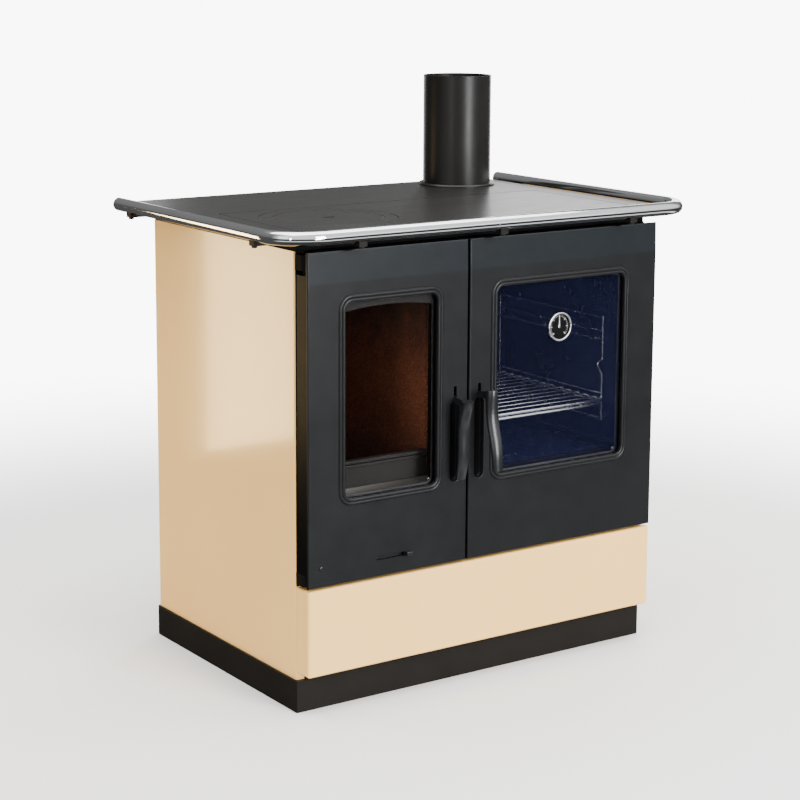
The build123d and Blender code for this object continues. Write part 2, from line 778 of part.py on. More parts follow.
rack_front_y = front_y + rack_front
rack_back_y = front_y + rack_back
guide_front_y = rack_front_y + rack_guide_inset
wire_x = oven_high_x - rack_wall_gap - rack_wire
guide_x = wire_x - 2 * rack_wire
kink_x = wire_x - kink_inset
with BuildPart() as right_oven_rack:
    with BuildLine() as hoop:
        FilletPolyline(
            (wire_x, rack_front_y, rack_high_z),
            (wire_x, rack_back_y, rack_high_z),
            (wire_x, rack_back_y, rack_low_z),
            (wire_x, rack_front_y, rack_low_z),
            radius=rack_bend,
        )
    with BuildSketch(Plane(origin=(wire_x, rack_front_y, rack_high_z), z_dir=(0, 1, 0))):
        Circle(rack_wire)
    sweep(path=hoop.wires()[0])
    with BuildLine() as upright:
        FilletPolyline(
            (wire_x, rack_front_y, rack_low_z - rack_tail),
            (wire_x, rack_front_y, kink_low_z),
            (kink_x, rack_front_y, kink_high_z - kink_point_drop),
            (wire_x, rack_front_y, kink_high_z),
            (wire_x, rack_front_y, rack_high_z + rack_tail),
            radius=kink_bend,
        )
    with BuildSketch(Plane.XY.offset(rack_low_z - rack_tail)):
        with Locations((wire_x, rack_front_y)):
            Circle(rack_upright)
    sweep(path=upright.wires()[0])
    with BuildSketch(across(rack_back_y + rack_wire)):
        for level in (rack_guide_low_z, rack_guide_low_z + rack_upper_step):
            with Locations((guide_x, level), (guide_x, level + rack_guide_step)):
                Circle(rack_wire)
    extrude(amount=rack_back_y + rack_wire - guide_front_y)
    with BuildSketch(Plane.YZ.offset(guide_x)):
        for level in (rack_guide_low_z, rack_guide_low_z + rack_upper_step):
            for height in (level, level + rack_guide_step):
                span(rack_front_y, guide_front_y + 1, height - rack_wire / 2, height + rack_wire / 2)
    extrude(amount=2 * rack_wire)
    with BuildSketch(Plane.YZ.offset(wire_x)):
        for depth in (rack_front_y + rack_foot_inset, rack_back_y - rack_foot_inset):
            with Locations((depth, rack_low_z), (depth, rack_high_z)):
                Circle(rack_peg)
    extrude(amount=rack_wall_gap + rack_wire)
save(right_oven_rack, "right_oven_rack")

left_rack_shape = mirror(
    right_oven_rack.part, about=Plane.YZ.offset((oven_low_x + oven_high_x) / 2)
)
with BuildPart() as left_oven_rack:
    add(left_rack_shape)
save(left_oven_rack, "left_oven_rack")

shelf_bar_z = rack_guide_low_z + rack_wire + seat_clearance + shelf_bar
shelf_low_x = oven_low_x + shelf_wall_gap + shelf_bar
shelf_high_x = oven_high_x - shelf_wall_gap - shelf_bar
shelf_front_y = front_y + shelf_front
rung_pitch = (shelf_depth - 4 * shelf_bar) / shelf_rung_count
with BuildPart() as oven_shelf:
    with BuildLine(Plane.XY.offset(shelf_bar_z)) as shelf_loop:
        FilletPolyline(
            (shelf_low_x, shelf_front_y),
            (shelf_high_x, shelf_front_y),
            (shelf_high_x, shelf_front_y + shelf_depth),
            (shelf_low_x, shelf_front_y + shelf_depth),
            radius=2 * shelf_bar,
            close=True,
        )
    with BuildSketch(
        Plane(origin=(shelf_low_x, shelf_front_y + shelf_depth / 2, shelf_bar_z), z_dir=(0, 1, 0))
    ):
        Circle(shelf_bar)
    sweep(path=shelf_loop.wires()[0])
    with BuildSketch(Plane.YZ.offset(shelf_low_x - shelf_bar)):
        with Locations((shelf_front_y + shelf_depth / 2, shelf_bar_z + shelf_bar)):
            with GridLocations(rung_pitch, 0, shelf_rung_count, 1):
                Circle(shelf_rung)
    extrude(amount=shelf_high_x - shelf_low_x + 2 * shelf_bar)
    with BuildSketch(Plane.YZ.offset(shelf_low_x + 2 * shelf_bar)):
        with Locations((shelf_front_y, shelf_bar_z - shelf_front_drop)):
            Circle(shelf_bar)
    extrude(amount=shelf_high_x - shelf_low_x - 4 * shelf_bar)
    with BuildSketch(Plane.XY.offset(shelf_bar_z - shelf_front_drop)):
        with Locations((0.5 * (shelf_low_x + shelf_high_x), shelf_front_y)):
            with GridLocations((shelf_high_x - shelf_low_x) / 3, 0, 3, 1):
                Circle(shelf_rung)
    extrude(amount=shelf_front_drop)
save(oven_shelf, "oven_shelf")

# ------------------------------------------------------------------ hob
plate_front_y = front_y + plate_front
plate_back_y = front_y + plate_back
pocket_half_width = plate_half_width + plate_gap
flue_spigot_radius = flue_pipe_radius - flue_pipe_wall - flue_fit_gap
flue_bore = flue_spigot_radius - flue_spigot_wall
with BuildPart() as hob_frame:
    with BuildSketch(Plane.XY.offset(hob_slab_low_z)):
        span(-hob_half_width, hob_half_width, hob_front_y, hob_back_y, hob_corner)
    extrude(amount=hob_slab)
    fillet(hob_frame.faces().sort_by(Axis.Z)[-1].edges(), hob_edge_round)
    with BuildSketch(Plane.XY.offset(plate_low_z - plate_ledge_height)):
        span(
            -pocket_half_width - plate_ledge_outside, pocket_half_width + plate_ledge_outside,
            plate_front_y - plate_gap - plate_ledge_outside,
            plate_back_y + plate_gap + plate_ledge_outside, plate_corner,
        )
    extrude(amount=plate_ledge_height)
    with BuildSketch(Plane.XY.offset(plate_low_z)):
        span(
            -pocket_half_width, pocket_half_width,
            plate_front_y - plate_gap, plate_back_y + plate_gap, plate_corner,
        )
    extrude(amount=plate_thickness, mode=Mode.SUBTRACT)
    with BuildSketch(Plane.XY.offset(plate_low_z - plate_ledge_height)):
        span(
            -pocket_half_width + plate_ledge, pocket_half_width - plate_ledge,
            plate_front_y - plate_gap + plate_ledge, plate_back_y + plate_gap - plate_ledge,
            plate_corner,
        )
    extrude(amount=plate_ledge_height, mode=Mode.SUBTRACT)
    with Locations((flue_x, flue_y, hob_top_z)):
        Hole(flue_bore)
save(hob_frame, "hob_frame")

ring_y = front_y + ring_back
ring_pocket = ring_radius + ring_gap
with BuildPart() as hob_plate:
    with BuildSketch(Plane.XY.offset(plate_low_z + seat_clearance)):
        span(-plate_half_width, plate_half_width, plate_front_y, plate_back_y, plate_corner)
    extrude(amount=plate_thickness - seat_clearance)
    fillet(hob_plate.faces().sort_by(Axis.Z)[-1].edges(), hob_plate_edge_round)
    with Locations((ring_x, ring_y, hob_top_z)):
        CounterBoreHole(ring_pocket - ring_ledge, ring_pocket, ring_seat_depth)
save(hob_plate, "hob_plate")

lid_seat_depth = lid_thickness + seat_clearance
with BuildPart() as hob_ring:
    with BuildSketch(Plane.XY.offset(hob_top_z - ring_seat_depth + seat_clearance)):
        with Locations((ring_x, ring_y)):
            Circle(ring_radius)
    extrude(amount=ring_seat_depth - seat_clearance)
    fillet(hob_ring.faces().sort_by(Axis.Z)[-1].edges(), hob_plate_edge_round)
    with BuildSketch(Plane.XY.offset(hob_top_z - lid_seat_depth - lid_ledge_height)):
        with Locations((ring_x, ring_y)):
            Circle(ring_radius - ring_flange)
    extrude(amount=lid_ledge_height)
    with Locations((ring_x, ring_y, hob_top_z)):
        CounterBoreHole(lid_radius + lid_gap - lid_ledge, lid_radius + lid_gap, lid_seat_depth)
save(hob_ring, "hob_ring")

with BuildPart() as hob_lid:
    with BuildSketch(Plane.XY.offset(hob_top_z - lid_thickness)):
        with Locations((ring_x, ring_y)):
            Circle(lid_radius)
    extrude(amount=lid_thickness)
    fillet(hob_lid.faces().sort_by(Axis.Z)[-1].edges(), hob_plate_edge_round)
    with BuildSketch(Plane.XY.offset(hob_top_z)):
        with Locations((ring_x, ring_y)):
            SlotOverall(lid_key_length, lid_key_width)
    extrude(amount=-lid_key_depth, mode=Mode.SUBTRACT)
save(hob_lid, "hob_lid")

with BuildPart() as flue_collar:
    with BuildSketch(Plane.XY.offset(hob_top_z)):
        with Locations((flue_x, flue_y)):
            Circle(flue_flange_radius)
            Circle(flue_bore, mode=Mode.SUBTRACT)
    extrude(amount=flue_flange)
    chamfer(flue_collar.edges().group_by(Axis.Z)[-1].sort_by(SortBy.LENGTH)[-1], flue_flange / 2)
    with BuildSketch(Plane.XY.offset(hob_top_z)):
        with Locations((flue_x, flue_y)):
            Circle(flue_spigot_radius)
            Circle(flue_bore, mode=Mode.SUBTRACT)
    extrude(amount=flue_flange + flue_spigot_rise)
save(flue_collar, "flue_collar")

with BuildPart() as flue_pipe:
    with BuildSketch(Plane.XY.offset(hob_top_z + flue_flange)):
        with Locations((flue_x, flue_y)):
            Circle(flue_pipe_radius)
            Circle(flue_pipe_radius - flue_pipe_wall, mode=Mode.SUBTRACT)
    extrude(amount=flue_pipe_length)
    with BuildSketch(Plane.XY.offset(hob_top_z + flue_flange)):
        with Locations((flue_x, flue_y)):
            Circle(flue_pipe_radius - flue_pipe_wall + flue_socket_gap)
    extrude(amount=flue_spigot_rise, mode=Mode.SUBTRACT)
    with BuildSketch(Plane.XY.offset(hob_top_z + flue_flange + flue_spigot_rise + flue_stop_gap)):
        with Locations((flue_x, flue_y)):
            Circle(flue_pipe_radius - flue_pipe_wall / 2)
            Circle(flue_pipe_radius - flue_pipe_wall - flue_stop_depth, mode=Mode.SUBTRACT)
    extrude(amount=flue_stop_height)
save(flue_pipe, "flue_pipe")

# ------------------------------------------------------------------ towel rail
rail_half_width = hob_half_width + rail_gap_side
rail_y = hob_front_y - rail_gap_front
rail_end_y = hob_back_y - rail_end_inset
bracket_root_x = hob_half_width - rail_bracket_lap
bracket_root_y = hob_front_y + rail_bracket_lap
for side, name in ((-1, "left_rail"), (1, "right_rail")):
    seam = rail_seam_x + side * rail_seam_gap / 2
    with BuildPart() as rail:
        with BuildLine(Plane.XY.offset(hob_top_z)) as rail_run:
            FilletPolyline(
                (seam, rail_y),
                (side * rail_half_width, rail_y),
                (side * rail_half_width, rail_end_y),
                radius=rail_bend,
            )
        with BuildSketch(Plane(origin=(seam, rail_y, hob_top_z), z_dir=(side, 0, 0))):
            Circle(rail_radius)
            Circle(rail_radius - rail_wall, mode=Mode.SUBTRACT)
        sweep(path=rail_run.wires()[0])
    save(rail, name)

with BuildPart() as rail_sleeve:
    with BuildSketch(Plane.YZ.offset(rail_seam_x - rail_sleeve_length / 2)):
        with Locations((rail_y, hob_top_z)):
            Circle(rail_radius - rail_wall)
    extrude(amount=rail_sleeve_length)
save(rail_sleeve, "rail_sleeve")

bracket_low_z = hob_slab_low_z - rail_bracket_sheet
with BuildPart() as rail_side_brackets:
    for side in (-1, 1):
        for bracket_y in (front_y + rail_bracket_side_front, rail_end_y - rail_bracket_end_inset):
            with BuildSketch(across(bracket_y + rail_bracket_width / 2)):
                with BuildLine():
                    Polyline(
                        (side * bracket_root_x, bracket_low_z),
                        (side * (rail_half_width + rail_bracket_nose), bracket_low_z),
                        (side * (rail_half_width + rail_bracket_nose), hob_top_z - rail_saddle),
                        (side * (rail_half_width - rail_saddle), hob_top_z - rail_saddle),
                        (side * (rail_half_width - rail_radius), hob_slab_low_z),
                        (side * bracket_root_x, hob_slab_low_z),
                        close=True,
                    )
                make_face()
                with Locations((side * rail_half_width, hob_top_z)):
                    Circle(rail_radius, mode=Mode.SUBTRACT)
            extrude(amount=rail_bracket_width)
            with BuildSketch(Plane.XY.offset(bracket_low_z)):
                with Locations((side * rail_half_width, bracket_y)):
                    RegularPolygon(rail_nut_radius, 6)
            extrude(amount=-rail_nut_drop)
save(rail_side_brackets, "rail_side_brackets")

rail_bracket_front_x = half_width - rail_bracket_front_inset
with BuildPart() as rail_front_brackets:
    for place in (-rail_bracket_front_x, 0, rail_bracket_front_x):
        with BuildSketch(Plane.YZ.offset(place - rail_bracket_width / 2)):
            with BuildLine():
                Polyline(
                    (bracket_root_y, bracket_low_z),
                    (rail_y - rail_bracket_nose, bracket_low_z),
                    (rail_y - rail_bracket_nose, hob_top_z - rail_saddle),
                    (rail_y + rail_saddle, hob_top_z - rail_saddle),
                    (rail_y + rail_radius, hob_slab_low_z),
                    (bracket_root_y, hob_slab_low_z),
                    close=True,
                )
            make_face()
            with Locations((rail_y, hob_top_z)):
                Circle(rail_radius, mode=Mode.SUBTRACT)
        extrude(amount=rail_bracket_width)
        with BuildSketch(Plane.XY.offset(bracket_low_z)):
            with Locations((place, rail_y)):
                RegularPolygon(rail_nut_radius, 6)
        extrude(amount=-rail_nut_drop)
save(rail_front_brackets, "rail_front_brackets")

# ------------------------------------------------------------------ storage drawer
drawer_panel_back_y = front_y - drawer_rear_gap
drawer_box_front_y = drawer_panel_back_y
drawer_box_back_y = case_back_y - drawer_box_back_room
with BuildPart() as drawer_front:
    with BuildSketch(across(drawer_panel_back_y)):
        span(-door_half_width, door_half_width, drawer_low_z, drawer_high_z)
    extrude(amount=drawer_panel_back_y - door_face_y)
    rounded_edges = drawer_front.faces().sort_by(Axis.Y)[0].edges()
    rounded_edges += drawer_front.edges().filter_by(Axis.Y)
    fillet(rounded_edges, drawer_edge_round)
    offset(amount=-drawer_sheet, openings=drawer_front.faces().sort_by(Axis.Y)[-1])
save(drawer_front, "drawer_front")

with BuildPart() as drawer_backing:
    with BuildSketch(across(drawer_panel_back_y)):
        span(
            -door_half_width + drawer_sheet, door_half_width - drawer_sheet,
            drawer_low_z + drawer_sheet, drawer_high_z - drawer_sheet,
            drawer_edge_round - drawer_sheet,
        )
    extrude(amount=drawer_sheet)
save(drawer_backing, "drawer_backing")

with BuildPart() as drawer_box:
    with BuildSketch(Plane.XY.offset(drawer_box_low_z)):
        span(-drawer_box_half_width, drawer_box_half_width, drawer_box_front_y, drawer_box_back_y)
    extrude(amount=drawer_box_high_z - drawer_box_low_z)
    offset(amount=-drawer_sheet, openings=drawer_box.faces().sort_by(Axis.Z)[-1])
    with BuildSketch(Plane.XY.offset(runner_z + seat_clearance)):
        for side in (-1, 1):
            inner_x = side * drawer_box_half_width
            outer_x = side * drawer_flange_x
            span(
                min(inner_x, outer_x), max(inner_x, outer_x),
                frame_back_y, drawer_box_back_y,
            )
    extrude(amount=runner_sheet)
save(drawer_box, "drawer_box")

drawer_case_depth = case_back_y - frame_back_y
with BuildPart() as drawer_case:
    with BuildSketch(across(case_back_y)):
        span(
            -drawer_case_half_width, drawer_case_half_width, plinth_height, drawer_case_high_z,
        )
        span(
            -drawer_case_half_width + drawer_case_sheet, drawer_case_half_width - drawer_case_sheet,
            plinth_height - 1, drawer_case_high_z - drawer_case_sheet,
            mode=Mode.SUBTRACT,
        )
    extrude(amount=drawer_case_depth)
save(drawer_case, "drawer_case")

runner_wall_x = drawer_case_half_width - drawer_case_sheet
with BuildPart() as drawer_runners:
    with BuildSketch(across(case_back_y)):
        span(runner_wall_x - runner_sheet, runner_wall_x, runner_z - runner_sheet,
             runner_z + runner_height)
        span(runner_wall_x - runner_ledge, runner_wall_x, runner_z - runner_sheet, runner_z)
        mirror(about=Plane.YZ)
    extrude(amount=drawer_case_depth)
save(drawer_runners, "drawer_runners")

# ------------------------------------------------------------------ door hinges
upper_pin_low_z = hinge_high_z - hinge_lift_gap - hinge_pin_length
for side, name in ((-1, "left_door_hinges"), (1, "right_door_hinges")):
    axis_x = side * hinge_axis_x
    with BuildPart() as door_hinges:
        for low_z, height in (
            (hinge_low_z, hinge_low_height), (hinge_high_z, hinge_high_height),
        ):
            with BuildSketch(Plane.XY.offset(low_z)):
                with Locations((axis_x, hinge_axis_y)):
                    Circle(hinge_lug_radius)
                span(axis_x - hinge_lug_radius, axis_x + hinge_lug_radius, hinge_axis_y, front_y)
            extrude(amount=height)
        for low_z, high_z in (
            (hinge_low_z, hinge_low_z + hinge_low_height + hinge_pin_length),
            (upper_pin_low_z, hinge_high_z + hinge_high_height),
        ):
            with BuildSketch(Plane.XY.offset(low_z)):
                with Locations((axis_x, hinge_axis_y)):
                    Circle(hinge_pin_radius)
            extrude(amount=high_z - low_z)
    save(door_hinges, name)

# ------------------------------------------------------------------ doors
for door in (firebox_side, oven_side):
    outer_edge_x = door.side * door_half_width
    axis_x = door.side * hinge_axis_x
    notch_x = axis_x - door.side * hinge_notch
    boss_x = notch_x - door.side * hinge_notch_wall
    boss_edge_x = outer_edge_x - door.side * door_edge_round
    boss_low_x, boss_high_x = sorted((boss_x, boss_edge_x))
    notch_low_x, notch_high_x = sorted((notch_x, outer_edge_x + door.side))

    with BuildPart() as casting:
        with BuildSketch(Plane.YZ.offset(door.low_x)):
            with BuildLine():
                Polyline(
                    (door_face_y, door_low_z),
                    (door_face_y, door_crease_z),
                    (door_face_y + door_crease_setback, door_high_z),
                    (door_back_y, door_high_z),
                    (door_back_y, door_low_z),
                    close=True,
                )
            make_face()
        extrude(amount=door.high_x - door.low_x)
        face_edges = casting.edges().filter_by_position(
            Axis.Y, door_face_y - 1, door_face_y + door_crease_setback + 1
        )
        crease = face_edges.sort_by_distance((0, door_face_y, door_crease_z))[0]
        face_edges.remove(crease)
        fillet(face_edges, door_edge_round)
        with BuildSketch(across(door_back_y)):
            span(
                door.low_x + door_wall, door.high_x - door_wall,
                door_low_z + door_wall, door_high_z - door_wall, door_wall,
            )
        extrude(amount=door_back_y - door_plate_back_y, mode=Mode.SUBTRACT)
        for low_z, high_z in (
            (door_low_z + door_edge_round, notch_low_z + hinge_boss_height),
            (notch_high_z - hinge_boss_height, door_high_z - door_edge_round),
        ):
            with BuildSketch(Plane.XY.offset(low_z)):
                span(boss_low_x, boss_high_x, door_plate_back_y - 1, door_back_y)
            extrude(amount=high_z - low_z)
        for low_z, high_z in ((door_low_z - 1, notch_low_z), (notch_high_z, door_high_z + 1)):
            with BuildSketch(Plane.XY.offset(low_z)):
                span(notch_low_x, notch_high_x, hinge_axis_y - hinge_notch, door_back_y + 1)
            extrude(amount=high_z - low_z, mode=Mode.SUBTRACT)
        for start_z, depth in ((notch_low_z, hinge_bore_depth), (notch_high_z, -hinge_bore_depth)):
            with BuildSketch(Plane.XY.offset(start_z)):
                with Locations((axis_x, hinge_axis_y)):
                    Circle(hinge_pin_radius + hinge_pin_clearance)
            extrude(amount=depth, mode=Mode.SUBTRACT)

        with BuildSketch(across(door_back_y)):
            span(door.seal_low_x, door.seal_high_x, door.seal_low_z, door.seal_high_z, seal_rib)
            span(
                door.seal_low_x + seal_rib, door.seal_high_x - seal_rib,
                door.seal_low_z + seal_rib, door.seal_high_z - seal_rib,
                seal_inner_corner, Mode.SUBTRACT,
            )
        extrude(amount=door_back_y - door_plate_back_y + 1)
        seal_wall = (seal_rib - seal_groove) / 2
        with BuildSketch(across(door_back_y)):
            span(
                door.seal_low_x + seal_wall, door.seal_high_x - seal_wall,
                door.seal_low_z + seal_wall, door.seal_high_z - seal_wall, seal_rib - seal_wall,
            )
            span(
                door.seal_low_x + seal_rib - seal_wall, door.seal_high_x - seal_rib + seal_wall,
                door.seal_low_z + seal_rib - seal_wall, door.seal_high_z - seal_rib + seal_wall,
                seal_inner_corner + seal_wall, Mode.SUBTRACT,
            )
        extrude(amount=seal_groove_depth, mode=Mode.SUBTRACT)

        with BuildSketch(across(door_plate_back_y)):
            span(
                door.window_low_x, door.window_high_x, window_low_z, window_high_z, window_corner,
            )
        extrude(amount=door_plate + 1, mode=Mode.SUBTRACT)
        scoop_middle_z = (scoop_low_z + scoop_high_z) / 2
        with BuildSketch(across(door_face_y + scoop_depth)):
            with Locations((door.handle_x, scoop_middle_z)):
                SlotOverall(scoop_high_z - scoop_low_z, scoop_width, rotation=90)
        extrude(amount=scoop_depth + 1, mode=Mode.SUBTRACT)
        scoop_floor = casting.faces().sort_by_distance(
            (door.handle_x, door_face_y + scoop_depth, scoop_middle_z)
        )[0]
        fillet(scoop_floor.edges(), scoop_round)
        rim_edges = casting.edges().filter_by_position(
            Axis.Y, door_face_y - 0.01, door_face_y + 0.01
        ).filter_by_position(
            Axis.X, door.handle_x - scoop_width, door.handle_x + scoop_width
        ).filter_by_position(Axis.Z, scoop_low_z - 1, scoop_high_z + 1)
        fillet(rim_edges, scoop_rim)
        with BuildSketch(across(door_plate_back_y + handle_pad)):
            span(
                door.handle_x - handle_pad_half_width, door.handle_x + handle_pad_half_width,
                scoop_low_z - handle_pad, handle_pivot_z - handle_slot_below - 1,
            )
        extrude(amount=handle_pad)
        lug_inner = handle_arm_thickness / 2 + handle_lug_gap
        with BuildSketch(across(pivot_y + handle_hub_radius + 1)):
            with Locations((door.handle_x, handle_pivot_z)):
                Rectangle(2 * (lug_inner + handle_lug_thickness), 2 * handle_hub_radius + 2)
                Rectangle(2 * lug_inner, 2 * handle_hub_radius + 2, mode=Mode.SUBTRACT)
        extrude(amount=pivot_y + handle_hub_radius + 1 - door_plate_back_y)
        with BuildSketch(Plane.YZ.offset(door.handle_x - lug_inner - handle_lug_thickness)):
            with Locations((pivot_y, handle_pivot_z)):
                Circle(handle_pin_radius)
        extrude(amount=2 * (lug_inner + handle_lug_thickness), mode=Mode.SUBTRACT)
        with BuildSketch(across(door_plate_back_y + handle_pad + 1)):
            span(
                door.handle_x - handle_slot_width / 2, door.handle_x + handle_slot_width / 2,
                handle_pivot_z - handle_slot_below, handle_pivot_z + handle_slot_above,
                handle_slot_corner,
            )
        extrude(amount=door_plate + handle_pad + 2, mode=Mode.SUBTRACT)
        if door is firebox_side:
            with BuildSketch(across(door_plate_back_y)):
                with Locations(((air_slot_low_x + air_slot_high_x) / 2, air_slot_z)):
                    SlotOverall(air_slot_high_x - air_slot_low_x, air_slot_height)
            extrude(amount=door_plate + 1, mode=Mode.SUBTRACT)
        with BuildLine(across(door_face_y)) as window_edge:
            FilletPolyline(
                (door.window_low_x, window_low_z),
                (door.window_low_x, window_high_z),
                (door.window_high_x, window_high_z),
                (door.window_high_x, window_low_z),
                radius=window_corner,
                close=True,
            )
        moulding_plane = Plane(
            origin=((door.window_low_x + door.window_high_x) / 2, door_face_y, window_low_z),
            x_dir=(0, 0, -1),
            z_dir=(-1, 0, 0),
        )
        with BuildSketch(moulding_plane):
            with BuildLine():
                Polyline((moulding_width, 0), (moulding_width, -2), (0, -2), (0, moulding_lip))
                ThreePointArc(
                    (0, moulding_lip),
                    (moulding_step / 2, moulding_height),
                    (moulding_step, moulding_valley),
                )
                ThreePointArc(
                    (moulding_step, moulding_valley),
                    ((moulding_step + moulding_width) / 2, moulding_step_height),
                    (moulding_width, 0),
                )
            make_face()
        sweep(path=window_edge.wires()[0])

    save(casting, f"{door.name}_door")

    glass_low_x = door.window_low_x - glass_overlap
    glass_high_x = door.window_high_x + glass_overlap
    glass_low_z = window_low_z - glass_overlap
    glass_high_z = window_high_z + glass_overlap
    glass_corner = window_corner + glass_overlap
    with BuildPart() as window_glass:
        with BuildSketch(across(glass_back_y)):
            span(glass_low_x, glass_high_x, glass_low_z, glass_high_z, glass_corner)
            if door is oven_side:
                with Locations((gauge_x, gauge_z)):
                    Circle(gauge_stem_radius + gauge_stem_clearance, mode=Mode.SUBTRACT)
        extrude(amount=glass_thickness)
    save(window_glass, f"{door.name}_glass")

    edge = glass_frame_gap + glass_frame_sheet
    with BuildPart() as glass_frame:
        with BuildSketch(across(glass_back_y + glass_frame_sheet)):
            span(
                glass_low_x - edge, glass_high_x + edge, glass_low_z - edge, glass_high_z + edge,
                glass_corner + edge,
            )
            span(
                glass_low_x + glass_frame_width, glass_high_x - glass_frame_width,
                glass_low_z + glass_frame_width, glass_high_z - glass_frame_width,
                glass_corner - glass_frame_width, Mode.SUBTRACT,
            )
        extrude(amount=glass_thickness + glass_frame_sheet)
        with BuildSketch(across(glass_back_y)):
            span(
                glass_low_x - glass_frame_gap, glass_high_x + glass_frame_gap,
                glass_low_z - glass_frame_gap, glass_high_z + glass_frame_gap,
                glass_corner + glass_frame_gap,
            )
        extrude(amount=glass_thickness, mode=Mode.SUBTRACT)
    save(glass_frame, f"{door.name}_glass_frame")

    rope_side = seal_wall + seal_side_clearance
    with BuildPart() as door_seal:
        with BuildSketch(across(frame_front_y - seat_clearance)):
            span(
                door.seal_low_x + rope_side, door.seal_high_x - rope_side,
                door.seal_low_z + rope_side, door.seal_high_z - rope_side, seal_rib - rope_side,
            )
            span(
                door.seal_low_x + seal_rib - rope_side, door.seal_high_x - seal_rib + rope_side,
                door.seal_low_z + seal_rib - rope_side, door.seal_high_z - seal_rib + rope_side,
                seal_inner_corner + rope_side, Mode.SUBTRACT,
            )
        extrude(amount=frame_front_y - seat_clearance - door_back_y + seal_groove_depth)
        fillet(door_seal.faces().sort_by(Axis.Y)[-1].edges(), seal_round)
    save(door_seal, f"{door.name}_door_seal")

    lever_tilt = Plane(
        origin=(door.handle_x, pivot_y, handle_pivot_z),
        x_dir=Vector(0, -1, 0).rotate(Axis.X, -door.handle_tilt),
        z_dir=(-1, 0, 0),
    )
    with BuildPart() as lever:
        with BuildSketch(lever_tilt):
            Circle(handle_hub_radius)
            span(-handle_nose_back, handle_reach, -handle_arm_half, handle_arm_half)
            span(-handle_nose_back, -handle_nose_front, -handle_arm_half, handle_nose_rise, 0)
            Circle(handle_pin_radius + handle_pin_clearance, mode=Mode.SUBTRACT)
        extrude(amount=handle_arm_thickness / 2, both=True)
        for reach, rise, half_width_here, half_thickness in grip_sections:
            section_at = lever_tilt.from_local_coords((reach, rise, 0))
            with BuildSketch(Plane(origin=section_at, x_dir=(1, 0, 0), z_dir=-lever_tilt.y_dir)):
                Ellipse(half_width_here, half_thickness)
        loft()
    save(lever, f"{door.name}_handle")

    with BuildPart() as handle_pin:
        with BuildSketch(Plane.YZ.offset(door.handle_x - lug_inner - handle_lug_thickness)):
            with Locations((pivot_y, handle_pivot_z)):
                Circle(handle_pin_radius)
        extrude(amount=2 * (lug_inner + handle_lug_thickness))
    save(handle_pin, f"{door.name}_handle_pin")

# ------------------------------------------------------------------ firebox door fittings
deflector_back_y = glass_back_y + glass_frame_sheet + deflector_sheet
arch_middle_x = (firebox_side.window_low_x + firebox_side.window_high_x) / 2
deflector_low_x = firebox_side.window_low_x - glass_overlap
deflector_high_x = firebox_side.window_high_x + glass_overlap
with BuildPart() as air_wash_plate:
    with BuildSketch(across(deflector_back_y)):
        with BuildLine():
            ThreePointArc(
                (deflector_low_x, arch_side_z),
                (arch_middle_x, arch_side_z + arch_rise),
                (deflector_high_x, arch_side_z),
            )
            Polyline(
                (deflector_high_x, arch_side_z),
                (deflector_high_x, window_high_z + glass_overlap),
                (deflector_low_x, window_high_z + glass_overlap),
                (deflector_low_x, arch_side_z),
            )
        make_face()
    extrude(amount=deflector_sheet)
save(air_wash_plate, "air_wash_plate")

air_plate_back_y = door_plate_back_y + air_clearance + air_plate_sheet
air_tongue_high_x = air_slot_high_x - air_tongue_end_gap
with BuildPart() as air_slide:
    with BuildSketch(across(air_plate_back_y)):
        span(
            air_tongue_high_x + air_plate_lap - air_plate_length, air_tongue_high_x + air_plate_lap,
            air_slot_z - air_plate_height / 2, air_slot_z + air_plate_height / 2,
        )
    extrude(amount=air_plate_sheet)
    with BuildSketch(across(door_plate_back_y + air_clearance)):
        span(
            air_tongue_high_x - air_tongue_width, air_tongue_high_x,
            air_slot_z - air_slot_height / 2 + air_clearance,
            air_slot_z + air_slot_height / 2 - air_clearance, air_tongue_corner,
        )
    extrude(amount=air_clearance + door_plate + air_tongue_proud)
    fillet(air_slide.faces().sort_by(Axis.Y)[0].edges(), air_tongue_round)
save(air_slide, "air_slide")

guide_middle_x = air_tongue_high_x + air_plate_lap - air_plate_length / 2 - air_travel / 2
with BuildPart() as air_slide_guides:
    with BuildSketch(Plane.YZ.offset(guide_middle_x - air_guide_length / 2)):
        for side in (-1, 1):
            edge_z = air_slot_z + side * (air_plate_height / 2 + air_clearance)
            outer_z = edge_z + side * air_guide_width
            lip_z = edge_z - side * air_guide_lip
            span(
                door_plate_back_y, air_plate_back_y + air_clearance,
                min(edge_z, outer_z), max(edge_z, outer_z),
            )
            span(
                air_plate_back_y + air_clearance, air_plate_back_y + air_clearance + air_guide,
                min(lip_z, outer_z), max(lip_z, outer_z),
            )
    extrude(amount=air_guide_length)
save(air_slide_guides, "air_slide_guides")

# ------------------------------------------------------------------ oven thermometer
gauge_back_y = door_plate_back_y
gauge_front_y = gauge_back_y - gauge_case_depth
dial_back_y = gauge_back_y - gauge_case_floor
dial_front_y = dial_back_y - gauge_dial_thickness
needle_back_y = dial_front_y - gauge_needle_gap
needle_front_y = needle_back_y - gauge_needle_thickness
bezel_back_y = gauge_front_y + gauge_bezel_depth
case_radius = gauge_radius - gauge_case_inset
with BuildPart() as gauge_case:
    with BuildSketch(across(gauge_back_y)):
        with Locations((gauge_x, gauge_z)):
            Circle(case_radius)
    extrude(amount=gauge_back_y - bezel_back_y)
    with BuildSketch(across(dial_back_y)):
        with Locations((gauge_x, gauge_z)):
            Circle(case_radius - gauge_case_wall)
    extrude(amount=gauge_case_depth, mode=Mode.SUBTRACT)
    with BuildSketch(across(gauge_back_y + gauge_stem_length)):
        with Locations((gauge_x, gauge_z)):
            Circle(gauge_stem_radius)
    extrude(amount=gauge_stem_length)
save(gauge_case, "gauge_case")

